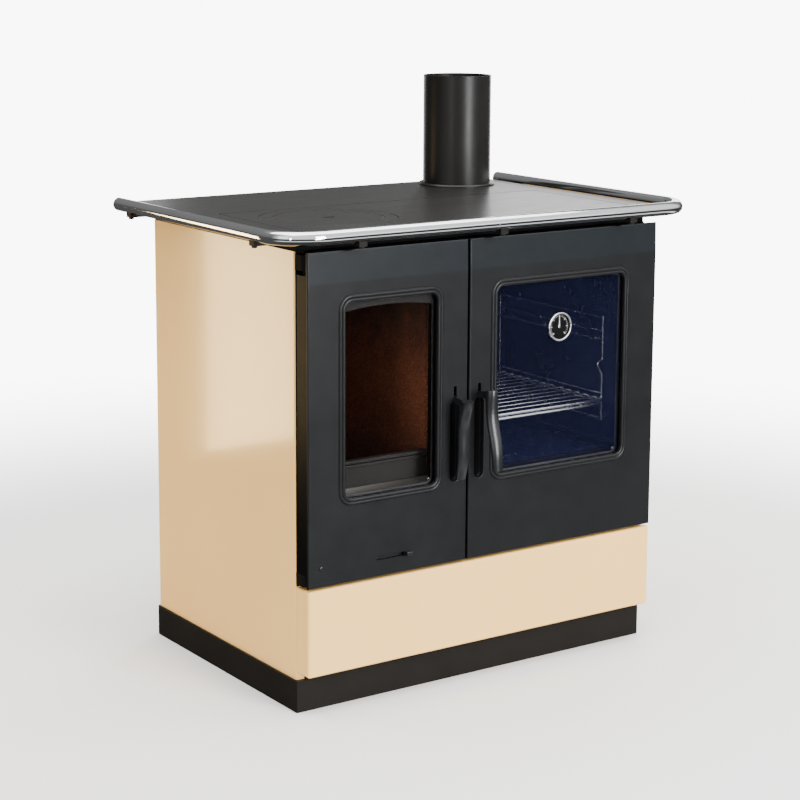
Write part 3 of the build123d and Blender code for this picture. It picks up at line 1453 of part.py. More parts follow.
with BuildPart() as gauge_bezel:
    with BuildSketch(across(bezel_back_y)):
        with Locations((gauge_x, gauge_z)):
            Circle(gauge_radius)
            Circle(gauge_radius - gauge_bezel_width, mode=Mode.SUBTRACT)
    extrude(amount=gauge_bezel_depth)
    fillet(gauge_bezel.faces().sort_by(Axis.Y)[0].edges(), 1.2)
save(gauge_bezel, "gauge_bezel")

with BuildPart() as gauge_dial:
    with BuildSketch(across(dial_back_y)):
        with Locations((gauge_x, gauge_z)):
            Circle(case_radius - gauge_case_wall)
    extrude(amount=gauge_dial_thickness)
    with BuildSketch(across(dial_front_y)):
        with Locations((gauge_x, gauge_z)):
            Circle(gauge_spindle_radius)
    extrude(amount=gauge_needle_gap + gauge_needle_thickness)
save(gauge_dial, "gauge_dial")

with BuildPart() as gauge_needle:
    with BuildSketch(across(needle_back_y)):
        with Locations((gauge_x, gauge_z)):
            Circle(gauge_hub_radius)
            Trapezoid(
                gauge_needle_width, gauge_needle_length, gauge_needle_slope_angle,
                align=(Align.CENTER, Align.MIN),
            )
            Circle(gauge_spindle_radius + gauge_spindle_clearance, mode=Mode.SUBTRACT)
    extrude(amount=gauge_needle_thickness)
save(gauge_needle, "gauge_needle")

with BuildPart() as gauge_lens:
    with BuildSketch(across(bezel_back_y - gauge_lens_inset)):
        with Locations((gauge_x, gauge_z)):
            Circle(gauge_radius - gauge_bezel_width)
    extrude(amount=gauge_lens_thickness)
save(gauge_lens, "gauge_lens")

with BuildPart() as gauge_nut:
    with BuildSketch(across(glass_back_y + gauge_nut_thickness)):
        with Locations((gauge_x, gauge_z)):
            RegularPolygon(gauge_nut_radius, 6)
            Circle(gauge_stem_radius, mode=Mode.SUBTRACT)
    extrude(amount=gauge_nut_thickness)
save(gauge_nut, "gauge_nut")
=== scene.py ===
"""Looks of the wood cookstove: finishes of the CAD pieces, small fittings, light and camera."""

import json
import logging
import math
from collections.abc import Callable, Iterator
from contextlib import contextmanager
from dataclasses import dataclass, field
from enum import Enum

import bmesh
import bpy
from bpy.types import Material, Node, NodeSocket, NodeTree, Object
from mathutils import Euler, Matrix, Vector

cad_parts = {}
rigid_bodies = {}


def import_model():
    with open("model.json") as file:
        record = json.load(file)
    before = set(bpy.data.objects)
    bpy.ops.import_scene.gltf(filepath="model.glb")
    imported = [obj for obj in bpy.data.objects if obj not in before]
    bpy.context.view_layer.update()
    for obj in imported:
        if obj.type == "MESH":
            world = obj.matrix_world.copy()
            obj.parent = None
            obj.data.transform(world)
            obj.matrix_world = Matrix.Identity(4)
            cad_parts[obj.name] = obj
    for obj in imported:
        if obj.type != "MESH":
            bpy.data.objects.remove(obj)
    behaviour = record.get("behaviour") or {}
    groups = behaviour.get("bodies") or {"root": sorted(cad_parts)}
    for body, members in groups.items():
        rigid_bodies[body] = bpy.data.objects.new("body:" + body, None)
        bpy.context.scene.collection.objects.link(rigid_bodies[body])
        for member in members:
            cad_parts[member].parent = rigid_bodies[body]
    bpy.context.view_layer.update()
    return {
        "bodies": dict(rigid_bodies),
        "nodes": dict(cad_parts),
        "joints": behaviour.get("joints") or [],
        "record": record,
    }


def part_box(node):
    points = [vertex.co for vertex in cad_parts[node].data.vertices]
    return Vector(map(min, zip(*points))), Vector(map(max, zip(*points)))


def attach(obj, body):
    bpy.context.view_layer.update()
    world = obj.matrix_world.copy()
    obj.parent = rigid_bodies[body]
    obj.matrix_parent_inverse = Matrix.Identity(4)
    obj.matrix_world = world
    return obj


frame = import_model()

log = logging.getLogger("cookstove")
MM = 0.001
Colour = tuple[float, float, float, float]

# Numbers of the colour mix node's sockets, whose names occur more than once.
MIX_FACTOR, MIX_A, MIX_B, MIX_RESULT = 0, 6, 7, 2
# Roughness of every clear coat, and of the noise inside every pattern.
COAT_ROUGHNESS = 0.04
NOISE_ROUGHNESS = 0.55
# Smoothest surface that an uneven gloss may reach.
LEAST_ROUGHNESS = 0.02
# Edges of the new pieces that are sharper than this stay sharp.
SMOOTH_ANGLE = math.radians(35.0)
# The way that the stove's front faces.
FORWARD = Vector((0.0, -1.0, 0.0))


class Body(Enum):
    """The rigid bodies that new pieces ride on."""

    CARCASS = "carcass"
    FIREBOX_DOOR = "firebox_door"
    OVEN_DOOR = "oven_door"
    NEEDLE = "gauge_needle"


# ---- nodes and colours
def hex_colour(code: str) -> Colour:
    """Turn an sRGB hex colour into Blender's linear one.

    Args:
        code: Six hex digits, with or without a leading hash.

    Returns:
        Linear red, green, blue and an alpha of 1.
    """
    parts = [int(code.lstrip("#")[i : i + 2], 16) / 255 for i in (0, 2, 4)]
    linear = [c / 12.92 if c <= 0.04045 else ((c + 0.055) / 1.055) ** 2.4 for c in parts]
    return (linear[0], linear[1], linear[2], 1.0)


def add_node(
    tree: NodeTree,
    kind: str,
    values: dict[str | int, object] | None = None,
    links: dict[str | int, NodeSocket] | None = None,
    **settings: object,
) -> Node:
    """Add one node with its settings, socket values and links.

    Args:
        tree: The node tree.
        kind: Blender's node type name, without its ShaderNode.
        values: Values for unlinked input sockets, by name or number.
        links: Output sockets to link in, by input name or number.
        **settings: Attributes of the node itself.

    Returns:
        The new node.
    """
    node = tree.nodes.new(f"ShaderNode{kind}")
    for name, value in settings.items():
        setattr(node, name, value)
    for name, value in (values or {}).items():
        node.inputs[name].default_value = value
    for name, source in (links or {}).items():
        tree.links.new(source, node.inputs[name])
    return node


def ramp(tree: NodeTree, source: NodeSocket, stops: dict[float, Colour]) -> NodeSocket:
    """Map a 0 to 1 value onto colours.

    Args:
        tree: The node tree.
        source: The value to map.
        stops: Colour at each position, in rising order.

    Returns:
        The ramp's colour output.
    """
    node = add_node(tree, "ValToRGB", links={"Fac": source})
    places = list(stops)
    node.color_ramp.elements[0].position = places[0]
    node.color_ramp.elements[1].position = places[-1]
    for place in places[1:-1]:
        node.color_ramp.elements.new(place)
    for element, place in zip(node.color_ramp.elements, places):
        element.color = stops[place]
    return node.outputs["Color"]


def map_range(
    tree: NodeTree,
    source: NodeSocket,
    ends: tuple[float, float],
    onto: tuple[float, float] = (0.0, 1.0),
    smooth: bool = False,
) -> NodeSocket:
    """Map a value from one range onto another, held at its ends.

    Args:
        tree: The node tree.
        source: The value to map.
        ends: Its values at both ends.
        onto: What it becomes there.
        smooth: Whether the change eases in and out.

    Returns:
        The mapped value.
    """
    return add_node(
        tree,
        "MapRange",
        interpolation_type="SMOOTHSTEP" if smooth else "LINEAR",
        values={"From Min": ends[0], "From Max": ends[1], "To Min": onto[0], "To Max": onto[1]},
        links={"Value": source},
    ).outputs["Result"]


def grey(level: float) -> Colour:
    """Give the grey of one level.

    Args:
        level: Its linear brightness.

    Returns:
        Red, green and blue of that level and an alpha of 1.
    """
    return (level, level, level, 1.0)


def multiply(tree: NodeTree, base: NodeSocket, cover: NodeSocket, share: float) -> NodeSocket:
    """Darken one colour with another.

    Args:
        tree: The node tree.
        base: The colour below.
        cover: The colour that it is multiplied with.
        share: How much of that shows.

    Returns:
        The mixed colour.
    """
    return add_node(
        tree,
        "Mix",
        data_type="RGBA",
        blend_type="MULTIPLY",
        values={"Factor": share},
        links={MIX_A: base, MIX_B: cover},
    ).outputs[MIX_RESULT]


@dataclass(frozen=True)
class Finish:
    """A surface finish: one shader with a real pattern size.

    Attributes:
        name: Name of the material.
        colour: Main colour, sRGB hex.
        second: Colour that the pattern drifts to, sRGB hex.
        roughness: Middle roughness.
        roughness_swing: How far roughness moves either way.
        metallic: 1 for bare metal, 0 for paint, enamel and brick.
        grain_mm: Size of the fine surface grain.
        drift_mm: Size of the slow colour drift.
        bump_mm: Height of the grain.
        coat: Weight of the clear coat.
        specular: Strength of a non-metal's mirror share; 0.5 is the usual one.
    """

    name: str
    colour: str
    second: str
    roughness: float = 0.5
    roughness_swing: float = 0.05
    metallic: float = 0.0
    grain_mm: float = 1.0
    drift_mm: float = 120.0
    bump_mm: float = 0.05
    coat: float = 0.0
    specular: float = 0.5

    def start(self) -> tuple[Material, NodeTree, Node, NodeSocket]:
        """Begin the material with its shader and position input.

        Returns:
            The material, its node tree, the principled shader and the object coordinates.
        """
        material = bpy.data.materials.new(self.name)
        material.use_nodes = True
        tree = material.node_tree
        shader = tree.nodes["Principled BSDF"]
        shader.inputs["Metallic"].default_value = self.metallic
        shader.inputs["Roughness"].default_value = self.roughness
        if self.metallic < 0.5:
            shader.inputs["Specular IOR Level"].default_value = self.specular
        if self.coat:
            shader.inputs["Coat Weight"].default_value = self.coat
            shader.inputs["Coat Roughness"].default_value = COAT_ROUGHNESS
        place = add_node(tree, "TexCoord").outputs["Object"]
        return material, tree, shader, place

    def noise(
        self, tree: NodeTree, place: NodeSocket, size_mm: float, detail: float = 3.0
    ) -> NodeSocket:
        """Noise whose blobs have a real size.

        Args:
            tree: The node tree.
            place: Coordinates in metres.
            size_mm: Size of one blob.
            detail: How much finer structure it carries.

        Returns:
            A value from 0 to 1.
        """
        node = add_node(
            tree,
            "TexNoise",
            values={"Scale": 1 / (size_mm * MM), "Detail": detail, "Roughness": NOISE_ROUGHNESS},
            links={"Vector": place},
        )
        return node.outputs["Fac"]

    def cells(self, tree: NodeTree, place: NodeSocket) -> Node:
        """Add a pattern of cells of the grain's size.

        Args:
            tree: The node tree.
            place: Coordinates in metres.

        Returns:
            The cell node.
        """
        return add_node(
            tree, "TexVoronoi", values={"Scale": 1 / (self.grain_mm * MM)}, links={"Vector": place}
        )

    def drifting_tint(
        self,
        tree: NodeTree,
        place: NodeSocket,
        detail: float = 2.0,
        low: float = 0.3,
        high: float = 0.7,
    ) -> NodeSocket:
        """Let the main colour drift slowly to the second one.

        Args:
            tree: The node tree.
            place: Coordinates in metres.
            detail: How much finer structure the drift carries.
            low: Noise value up to which the main colour is pure.
            high: Noise value from which the second colour is pure.

        Returns:
            The colour.
        """
        drift = self.noise(tree, place, self.drift_mm, detail)
        return ramp(tree, drift, {low: hex_colour(self.colour), high: hex_colour(self.second)})

    def bump(
        self, tree: NodeTree, shader: Node, height: NodeSocket, strength: float = 0.6
    ) -> None:
        """Link a height to the shader's normal.

        Args:
            tree: The node tree.
            shader: The principled shader.
            height: Height from 0 to 1.
            strength: How strongly it shows.
        """
        node = add_node(
            tree,
            "Bump",
            values={"Strength": strength, "Distance": self.bump_mm * MM},
            links={"Height": height},
        )
        tree.links.new(node.outputs["Normal"], shader.inputs["Normal"])

    def roughen(self, tree: NodeTree, shader: Node, source: NodeSocket) -> None:
        """Let roughness swing with a 0 to 1 value.

        Args:
            tree: The node tree.
            shader: The principled shader.
            source: The value that it swings with.
        """
        low = max(LEAST_ROUGHNESS, self.roughness - self.roughness_swing)
        high = self.roughness + self.roughness_swing
        rough = map_range(tree, source, (0.0, 1.0), (low, high))
        tree.links.new(rough, shader.inputs["Roughness"])

    def material(self) -> Material:
        """Build the plain form of the finish: drifting colour, fine grain, uneven gloss.

        Returns:
            The material.
        """
        material, tree, shader, place = self.start()
        tree.links.new(self.drifting_tint(tree, place), shader.inputs["Base Color"])
        grain = self.noise(tree, place, self.grain_mm, 4.0)
        self.roughen(tree, shader, self.noise(tree, place, self.drift_mm / 4, 3.0))
        if self.bump_mm:
            self.bump(tree, shader, grain)
        return material


@dataclass(frozen=True)
class CastHob(Finish):
    """Ground cast iron, oiled by use: grey-black, with long polish marks and small dark pores.

    Attributes:
        stretch: Scale of the polish marks along X, below 1 to draw them out.
        pore_shade: Brightness inside a pore.
        pore_edge: Distance from a pore's middle at which it ends, as a share of the cells.
        pore_share: How strongly the pores show.
    """

    stretch: float = 0.18
    pore_shade: float = 0.4
    pore_edge: float = 0.16
    pore_share: float = 0.6

    def material(self) -> Material:
        """Build the hob iron.

        Returns:
            The material.
        """
        material, tree, shader, place = self.start()
        stretched = add_node(
            tree, "Mapping", values={"Scale": (self.stretch, 1.0, 1.0)}, links={"Vector": place}
        ).outputs["Vector"]
        tint = self.drifting_tint(tree, stretched, 5.0, 0.25, 0.75)
        pores = self.cells(tree, place).outputs["Distance"]
        speck = ramp(tree, pores, {0.0: grey(self.pore_shade), self.pore_edge: grey(1.0)})
        mixed = multiply(tree, tint, speck, self.pore_share)
        tree.links.new(mixed, shader.inputs["Base Color"])
        self.roughen(tree, shader, self.noise(tree, stretched, self.drift_mm / 3, 4.0))
        self.bump(tree, shader, self.noise(tree, place, self.grain_mm, 5.0), 0.5)
        return material


@dataclass(frozen=True)
class SpeckledEnamel(Finish):
    """Glossy oven enamel with the tiny pale specks that hide scratches.

    Attributes:
        speck: Distances from its middle up to which a speck is pure, and at which it ends.
        ripple_mm: Size of the fired surface's ripple.
    """

    speck: tuple[float, float] = (0.10, 0.16)
    ripple_mm: float = 9.0

    def material(self) -> Material:
        """Build the oven enamel.

        Returns:
            The material.
        """
        material, tree, shader, place = self.start()
        pale, main = hex_colour(self.second), hex_colour(self.colour)
        specks = self.cells(tree, place).outputs["Distance"]
        tint = ramp(tree, specks, {0.0: pale, self.speck[0]: pale, self.speck[1]: main})
        tree.links.new(tint, shader.inputs["Base Color"])
        self.roughen(tree, shader, self.noise(tree, place, self.drift_mm, 3.0))
        self.bump(tree, shader, self.noise(tree, place, self.ripple_mm, 1.0), 0.3)
        return material


@dataclass(frozen=True)
class DoorEnamel(Finish):
    """Anthracite door paint, with a painted reflection as a lighter, bluer top band and painted
    shade that darkens and dulls it behind the face.

    Attributes:
        painted_shade_depths: Depth (Y) at which the painted shade begins, and from which it is
            full; it darkens the recesses, the scoops behind the levers and the door's sides.
        painted_shade_share: Share of colour and gloss that is left in that painted shade.
        reflection_band_colour: Colour of the band above the crease, sRGB hex: a painted reflection
            of the bright room above, lighter and bluer than the paint.
        reflection_band_z: Height of the crease.
        reflection_band_blend: Half the height over which the painted reflection sets in.
    """

    painted_shade_depths: tuple[float, float] = (-0.2897, -0.2862)
    painted_shade_share: float = 0.2
    reflection_band_colour: str = "#14181B"
    reflection_band_z: float = 0.766
    reflection_band_blend: float = 1 * MM

    def material(self) -> Material:
        """Build the door paint.

        Returns:
            The material.
        """
        material, tree, shader, place = self.start()
        tint = self.drifting_tint(tree, place)
        axes = add_node(tree, "SeparateXYZ", links={"Vector": place}).outputs
        # Painted reflection: above the crease the paint turns to the band's lighter, bluer colour.
        blend = (self.reflection_band_z - self.reflection_band_blend, self.reflection_band_z + self.reflection_band_blend)
        above = map_range(tree, axes["Z"], blend)
        painted = add_node(
            tree,
            "Mix",
            data_type="RGBA",
            values={MIX_B: hex_colour(self.reflection_band_colour)},
            links={MIX_FACTOR: above, MIX_A: tint},
        ).outputs[MIX_RESULT]
        # Painted shade: colour and gloss fall behind the face, in the recesses, the scoops and on
        # the sides.
        shade = map_range(tree, axes["Y"], self.painted_shade_depths, (1.0, self.painted_shade_share))
        dark = add_node(
            tree, "VectorMath", operation="SCALE", links={"Vector": painted, "Scale": shade}
        ).outputs["Vector"]
        tree.links.new(dark, shader.inputs["Base Color"])
        gloss = add_node(
            tree, "Math", operation="MULTIPLY", values={1: self.specular}, links={0: shade}
        ).outputs["Value"]
        tree.links.new(gloss, shader.inputs["Specular IOR Level"])
        self.roughen(tree, shader, self.noise(tree, place, self.drift_mm / 4, 3.0))
        self.bump(tree, shader, self.noise(tree, place, self.grain_mm, 4.0))
        return material


@dataclass(frozen=True)
class DarkEndedBrick(Finish):
    """Pressed vermiculite fire brick: flaky, and darker to near black low down and high up.

    Attributes:
        heights: Heights at which the darkening's pattern begins and ends.
        end_wobble: How far noise moves the darkening's edges, and the offset that centres it.
    """

    heights: tuple[float, float] = (0.33, 0.72)
    end_wobble: tuple[float, float] = (0.35, -0.17)

    def material(self) -> Material:
        """Build the brick.

        Returns:
            The material.
        """
        material, tree, shader, place = self.start()
        flakes = self.cells(tree, place).outputs["Distance"]
        tint = ramp(tree, flakes, {0.1: hex_colour(self.second), 0.7: hex_colour(self.colour)})
        height = add_node(tree, "SeparateXYZ", links={"Vector": place}).outputs["Z"]
        level = map_range(tree, height, self.heights)
        end_wobble = add_node(
            tree,
            "Math",
            operation="MULTIPLY_ADD",
            values={1: self.end_wobble[0], 2: self.end_wobble[1]},
            links={0: self.noise(tree, place, self.drift_mm, 5.0)},
        ).outputs["Value"]
        darkening_level = add_node(
            tree, "Math", operation="ADD", links={0: level, 1: end_wobble}
        ).outputs["Value"]
        # Darker to near black towards the bottom and the top, pale in the middle.
        darkening = ramp(
            tree,
            darkening_level,
            {
                0.0: (0.10, 0.09, 0.08, 1.0),
                0.35: (0.75, 0.72, 0.70, 1.0),
                0.6: (0.9, 0.88, 0.86, 1.0),
                1.0: (0.12, 0.11, 0.10, 1.0),
            },
        )
        tree.links.new(multiply(tree, tint, darkening, 1.0), shader.inputs["Base Color"])
        self.bump(tree, shader, flakes, 0.8)
        return material


@dataclass(frozen=True)
class BraidedRope(Finish):
    """Glass-fibre sealing rope: a fine diagonal braid, matt and greyed by smoke.

    Attributes:
        lay: Angle of the strands, in degrees.
        strand_scale: Wave scale that makes one strand as wide as the grain.
        waviness: How far the strands stray.
    """

    lay: float = 45.0
    strand_scale: float = 0.16
    waviness: float = 0.8

    def material(self) -> Material:
        """Build the rope.

        Returns:
            The material.
        """
        material, tree, shader, place = self.start()
        turned = add_node(
            tree,
            "Mapping",
            values={"Rotation": (0.0, math.radians(self.lay), 0.0)},
            links={"Vector": place},
        ).outputs["Vector"]
        strands = [
            add_node(
                tree,
                "TexWave",
                wave_type="BANDS",
                bands_direction=direction,
                values={
                    "Scale": self.strand_scale / (self.grain_mm * MM), "Distortion": self.waviness
                },
                links={"Vector": turned},
            ).outputs["Fac"]
            for direction in ("X", "Z")
        ]
        braid = add_node(
            tree, "Math", operation="MAXIMUM", links={0: strands[0], 1: strands[1]}
        ).outputs["Value"]
        tint = ramp(tree, braid, {0.2: hex_colour(self.second), 0.9: hex_colour(self.colour)})
        tree.links.new(tint, shader.inputs["Base Color"])
        self.bump(tree, shader, braid, 0.9)
        return material


@dataclass(frozen=True)
class Spangle(Finish):
    """Hot-dip galvanised sheet: bare zinc crystals, each with its own sheen."""

    def material(self) -> Material:
        """Build the zinc.

        Returns:
            The material.
        """
        material, tree, shader, place = self.start()
        crystals = self.cells(tree, place).outputs["Color"]
        level = add_node(tree, "SeparateColor", links={"Color": crystals}).outputs["Red"]
        tint = ramp(tree, level, {0.0: hex_colour(self.second), 1.0: hex_colour(self.colour)})
        tree.links.new(tint, shader.inputs["Base Color"])
        self.roughen(tree, shader, level)
        return material


@dataclass(frozen=True)
class ClearPane(Finish):
    """Clear heat-proof glass, which shows by its reflections and a faint smoke tint.

    Attributes:
        alpha: How much of what lies behind the tint hides.
    """

    alpha: float = 0.12

    def material(self) -> Material:
        """Build the glass.

        Returns:
            The material.
        """
        material, tree, shader, place = self.start()
        smoke = self.drifting_tint(tree, place, 3.0, high=0.8)
        tree.links.new(smoke, shader.inputs["Base Color"])
        shader.inputs["Alpha"].default_value = self.alpha
        return material


@dataclass(frozen=True)
class FadingFloor(Finish):
    """Pale studio paper that passes softly into the white surround.

    Attributes:
        fade: Distances from the middle at which it begins to fade and is gone, in metres.
    """

    fade: tuple[float, float] = (1.1, 2.9)

    def material(self) -> Material:
        """Build the floor.

        Returns:
            The material.
        """
        material, tree, shader, place = self.start()
        tree.links.new(self.drifting_tint(tree, place), shader.inputs["Base Color"])
        reach = add_node(
            tree, "VectorMath", operation="LENGTH", links={0: place}
        ).outputs["Value"]
        fade = map_range(tree, reach, self.fade, (1.0, 0.0), smooth=True)
        tree.links.new(fade, shader.inputs["Alpha"])
        return material


class Palette:
    """Every finish of the stove, made once and shared."""

    # Vitreous enamel on sheet steel, sprayed and fired: glassy, cream, faint orange peel.
    cream = Finish(
        "cream_enamel", "#F0C176", "#EDBD72", 0.12, 0.03,
        grain_mm=5.0, drift_mm=260.0, bump_mm=0.012, coat=0.15,
    )
    # Heat-proof enamel paint on a cast door: anthracite, silky, with a very fine cast grain; a
    # painted reflection lightens its top band and painted shade darkens its recesses.
    door = DoorEnamel(
        "anthracite_enamel", "#131415", "#161718", 0.33, 0.05,
        grain_mm=0.8, bump_mm=0.03, specular=0.22,
    )
    # Satin black paint on folded steel.
    plinth = Finish(
        "satin_black_paint", "#181614", "#1B1917", 0.45, 0.06,
        grain_mm=0.9, bump_mm=0.02, specular=0.10,
    )
    # Matt black high-temperature paint inside the carcass.
    carcass = Finish(
        "matt_black_paint", "#0B0B0A", "#0F0E0D", 0.65, 0.06,
        grain_mm=1.2, bump_mm=0.03, specular=0.06,
    )
    # Black stove-pipe paint, baked on: satin, slightly dusty.
    flue = Finish(
        "stove_pipe_black", "#100F0E", "#141312", 0.34, 0.05,
        grain_mm=0.7, bump_mm=0.02, specular=0.22,
    )
    # Ground cast-iron hob, oiled and polished by use.
    hob = CastHob(
        "ground_cast_iron", "#141312", "#1B1A19", 0.34, 0.07,
        grain_mm=1.6, drift_mm=40.0, bump_mm=0.03, specular=0.3,
    )
    # Polished chromium plate on steel tube.
    chrome = Finish(
        "polished_chrome", "#D2D3D4", "#CACBCD", 0.07, 0.03, 1.0, grain_mm=2.0, bump_mm=0.0
    )
    # Chromed steel wire, a little duller than the rail.
    wire = Finish("chromed_wire", "#ECEDEE", "#DDDFE1", 0.26, 0.05, 1.0, grain_mm=2.0, bump_mm=0.0)
    # Dark blue oven enamel with faint pale specks.
    oven = SpeckledEnamel(
        "speckled_oven_enamel", "#121730", "#181D38", 0.26, 0.05,
        grain_mm=2.2, drift_mm=60.0, bump_mm=0.04, coat=0.05, specular=0.25,
    )
    # Rough cast iron, greyed by heat.
    raw_iron = Finish(
        "raw_cast_iron", "#1B1A19", "#242221", 0.66, 0.08, grain_mm=1.4, bump_mm=0.10, specular=0.25
    )
    # Pressed vermiculite brick, darker low down and high up.
    brick = DarkEndedBrick(
        "fire_brick", "#8E4F2C", "#5C2F18", 0.92, 0.03, grain_mm=3.5, drift_mm=45.0, bump_mm=0.5
    )
    # Cast iron of the hearth sill, painted lighter: painted light in place of the light that the
    # door's shadow takes from it.
    sill_painted_light_iron = Finish(
        "sill_iron_with_painted_light", "#4A4845", "#595652", 0.6, 0.08, grain_mm=1.4, bump_mm=0.10, specular=0.3
    )
    # Hot-dip galvanised sheet steel, with its spangle.
    zinc = Spangle("galvanised_sheet", "#A9ADB0", "#8A8E92", 0.38, 0.08, 1.0, grain_mm=9.0)
    # Plain mild steel, blued and ashy.
    ash_steel = Finish(
        "ashy_steel", "#5B5957", "#6E6A64", 0.58, 0.10, 1.0, grain_mm=1.5, bump_mm=0.05
    )
    # Satin black enamel on the cast handles, rubbed smooth by hands.
    handle = Finish(
        "satin_black_enamel", "#131517", "#16181A", 0.31, 0.05,
        grain_mm=0.8, bump_mm=0.02, coat=0.08, specular=0.38,
    )
    # Dark stainless sheet of the clips and frames.
    dark_sheet = Finish(
        "darkened_sheet", "#5A5A5C", "#4A4A4C", 0.45, 0.08, 1.0, grain_mm=1.0, bump_mm=0.02
    )
    # Braided glass-fibre rope.
    rope = BraidedRope(
        "glass_fibre_rope", "#4B4A48", "#1C1B1A", 0.95, 0.02, grain_mm=1.6, bump_mm=0.4
    )
    # Clear ceramic glass of the firebox, faintly smoked.
    fire_glass = ClearPane(
        "firebox_ceramic_glass", "#0A0807", "#120D0A", 0.03, drift_mm=80.0, alpha=0.10
    )
    # Tempered glass of the oven door, with the faint blue of its heat-reflecting coat.
    oven_glass = ClearPane(
        "oven_tempered_glass", "#282A46", "#2A2D4B", 0.03, drift_mm=120.0, alpha=0.075
    )
    # Clear glass lens over the dial.
    lens = ClearPane("gauge_lens_glass", "#050505", "#080808", 0.03, drift_mm=30.0, alpha=0.06)
    # Black print ground of the thermometer's dial.
    dial = Finish(
        "dial_black", "#060607", "#09090A", 0.7, 0.05, grain_mm=0.5, bump_mm=0.01, specular=0.1
    )
    # White print on the dial, and white paint on its needle.
    print_white = Finish("dial_white", "#F0F1F2", "#E6E7E8", 0.5, 0.04, grain_mm=0.5, bump_mm=0.01)
    # Pale studio paper under the stove.
    floor = FadingFloor(
        "studio_floor", "#FBFAF9", "#F8F7F6", 0.8, 0.05,
        grain_mm=3.0, bump_mm=0.0, drift_mm=900.0, specular=0.05,
    )

    def __init__(self) -> None:
        """Start with nothing made."""
        self.made: dict[str, Material] = {}

    def get(self, finish: Finish) -> Material:
        """Give the material of a finish, making it the first time.

        Args:
            finish: The finish wanted.

        Returns:
            Its material.
        """
        if finish.name not in self.made:
            self.made[finish.name] = finish.material()
        return self.made[finish.name]


palette = Palette()


# ---- modelling by hand
def deselect() -> None:
    """Leave nothing selected."""
    bpy.ops.object.select_all(action="DESELECT")


def activate(piece: Object) -> None:
    """Select one piece only, and make it the active one.

    Args:
        piece: The piece.
    """
    deselect()
    piece.select_set(True)
    bpy.context.view_layer.objects.active = piece


@contextmanager
def edit_mode(piece: Object) -> Iterator[None]:
    """Work on one piece in edit mode, in face select, with nothing selected.

    Args:
        piece: The piece to work on.

    Yields:
        Nothing; the piece is in edit mode inside the block.
    """
    activate(piece)
    bpy.ops.object.mode_set(mode="EDIT")
    bpy.ops.mesh.select_mode(type="FACE")
    bpy.ops.mesh.select_all(action="DESELECT")
    yield
    bpy.ops.object.mode_set(mode="OBJECT")


def pick_faces(piece: Object, wanted: Callable[[Vector, Vector], bool]) -> None:
    """Select the faces that a test wants, in edit mode.

    Args:
        piece: The piece in edit mode.
        wanted: Test on a face's centre and normal, both in the world.
    """
    turn = piece.matrix_world.to_3x3()
    mesh = bmesh.from_edit_mesh(piece.data)
    for part in (*mesh.verts, *mesh.edges, *mesh.faces):
        part.select = False
    for face in mesh.faces:
        centre = piece.matrix_world @ face.calc_center_median()
        if wanted(centre, (turn @ face.normal).normalized()):
            face.select_set(True)
    bmesh.update_edit_mesh(piece.data)


def finish_piece(piece: Object, name: str, body: Body, finish: Finish) -> None:
    """Place a new piece in its mesh, smooth it, dress it and hang it on its body.

    Args:
        piece: The piece.
        name: Its name.
        body: The body it rides on.
        finish: Its finish.
    """
    activate(piece)
    bpy.ops.object.transform_apply(location=True, rotation=True, scale=True)
    bpy.ops.object.shade_smooth_by_angle(angle=SMOOTH_ANGLE)
    piece.name = name
    piece.data.name = name
    piece.data.materials.clear()
    piece.data.materials.append(palette.get(finish))
    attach(piece, body.value)
    log.info("piece %s on %s: %d faces", name, body.value, len(piece.data.polygons))


def facing(normal: Vector) -> Euler:
    """Turn a piece's own +Z along a normal.

    Args:
        normal: The way to face.

    Returns:
        The turn.
    """
    return normal.to_track_quat("Z", "Y").to_euler()


@dataclass
class SocketScrew:
    """A domed screw with a round socket.

    Attributes:
        radius: Head radius, in metres.
        height: Head height, in metres.
        corners: Number of sides of the turned head.
        dome: Share of the height that the rounded edge and the socket take.
        rim: Share of the radius that stays round the socket.
    """

    radius: float
    height: float
    corners: int = 24
    dome: float = 0.55
    rim: float = 0.28

    def build(self, centre: Vector, normal: Vector) -> Object:
        """Model one screw head.

        Args:
            centre: Point on the face that carries it.
            normal: The way it faces.

        Returns:
            The screw, not yet dressed.
        """
        deselect()
        bpy.ops.mesh.primitive_cylinder_add(
            vertices=self.corners,
            radius=self.radius,
            depth=self.height,
            location=centre + normal * self.height / 2,
            rotation=facing(normal),
        )
        screw = bpy.context.active_object
        with edit_mode(screw):
            pick_faces(screw, lambda _, n: n.dot(normal) > 0.9)
            bpy.ops.mesh.bevel(offset=self.height * self.dome, segments=4, affect="EDGES")
            pick_faces(
                screw,
                lambda c, n: n.dot(normal) > 0.98 and (c - centre).dot(normal) > self.height * 0.9,
            )
            bpy.ops.mesh.inset(thickness=self.radius * self.rim, depth=0.0)
            bpy.ops.mesh.extrude_region_move(
                TRANSFORM_OT_translate={"value": -normal * self.height * self.dome}
            )
        return screw


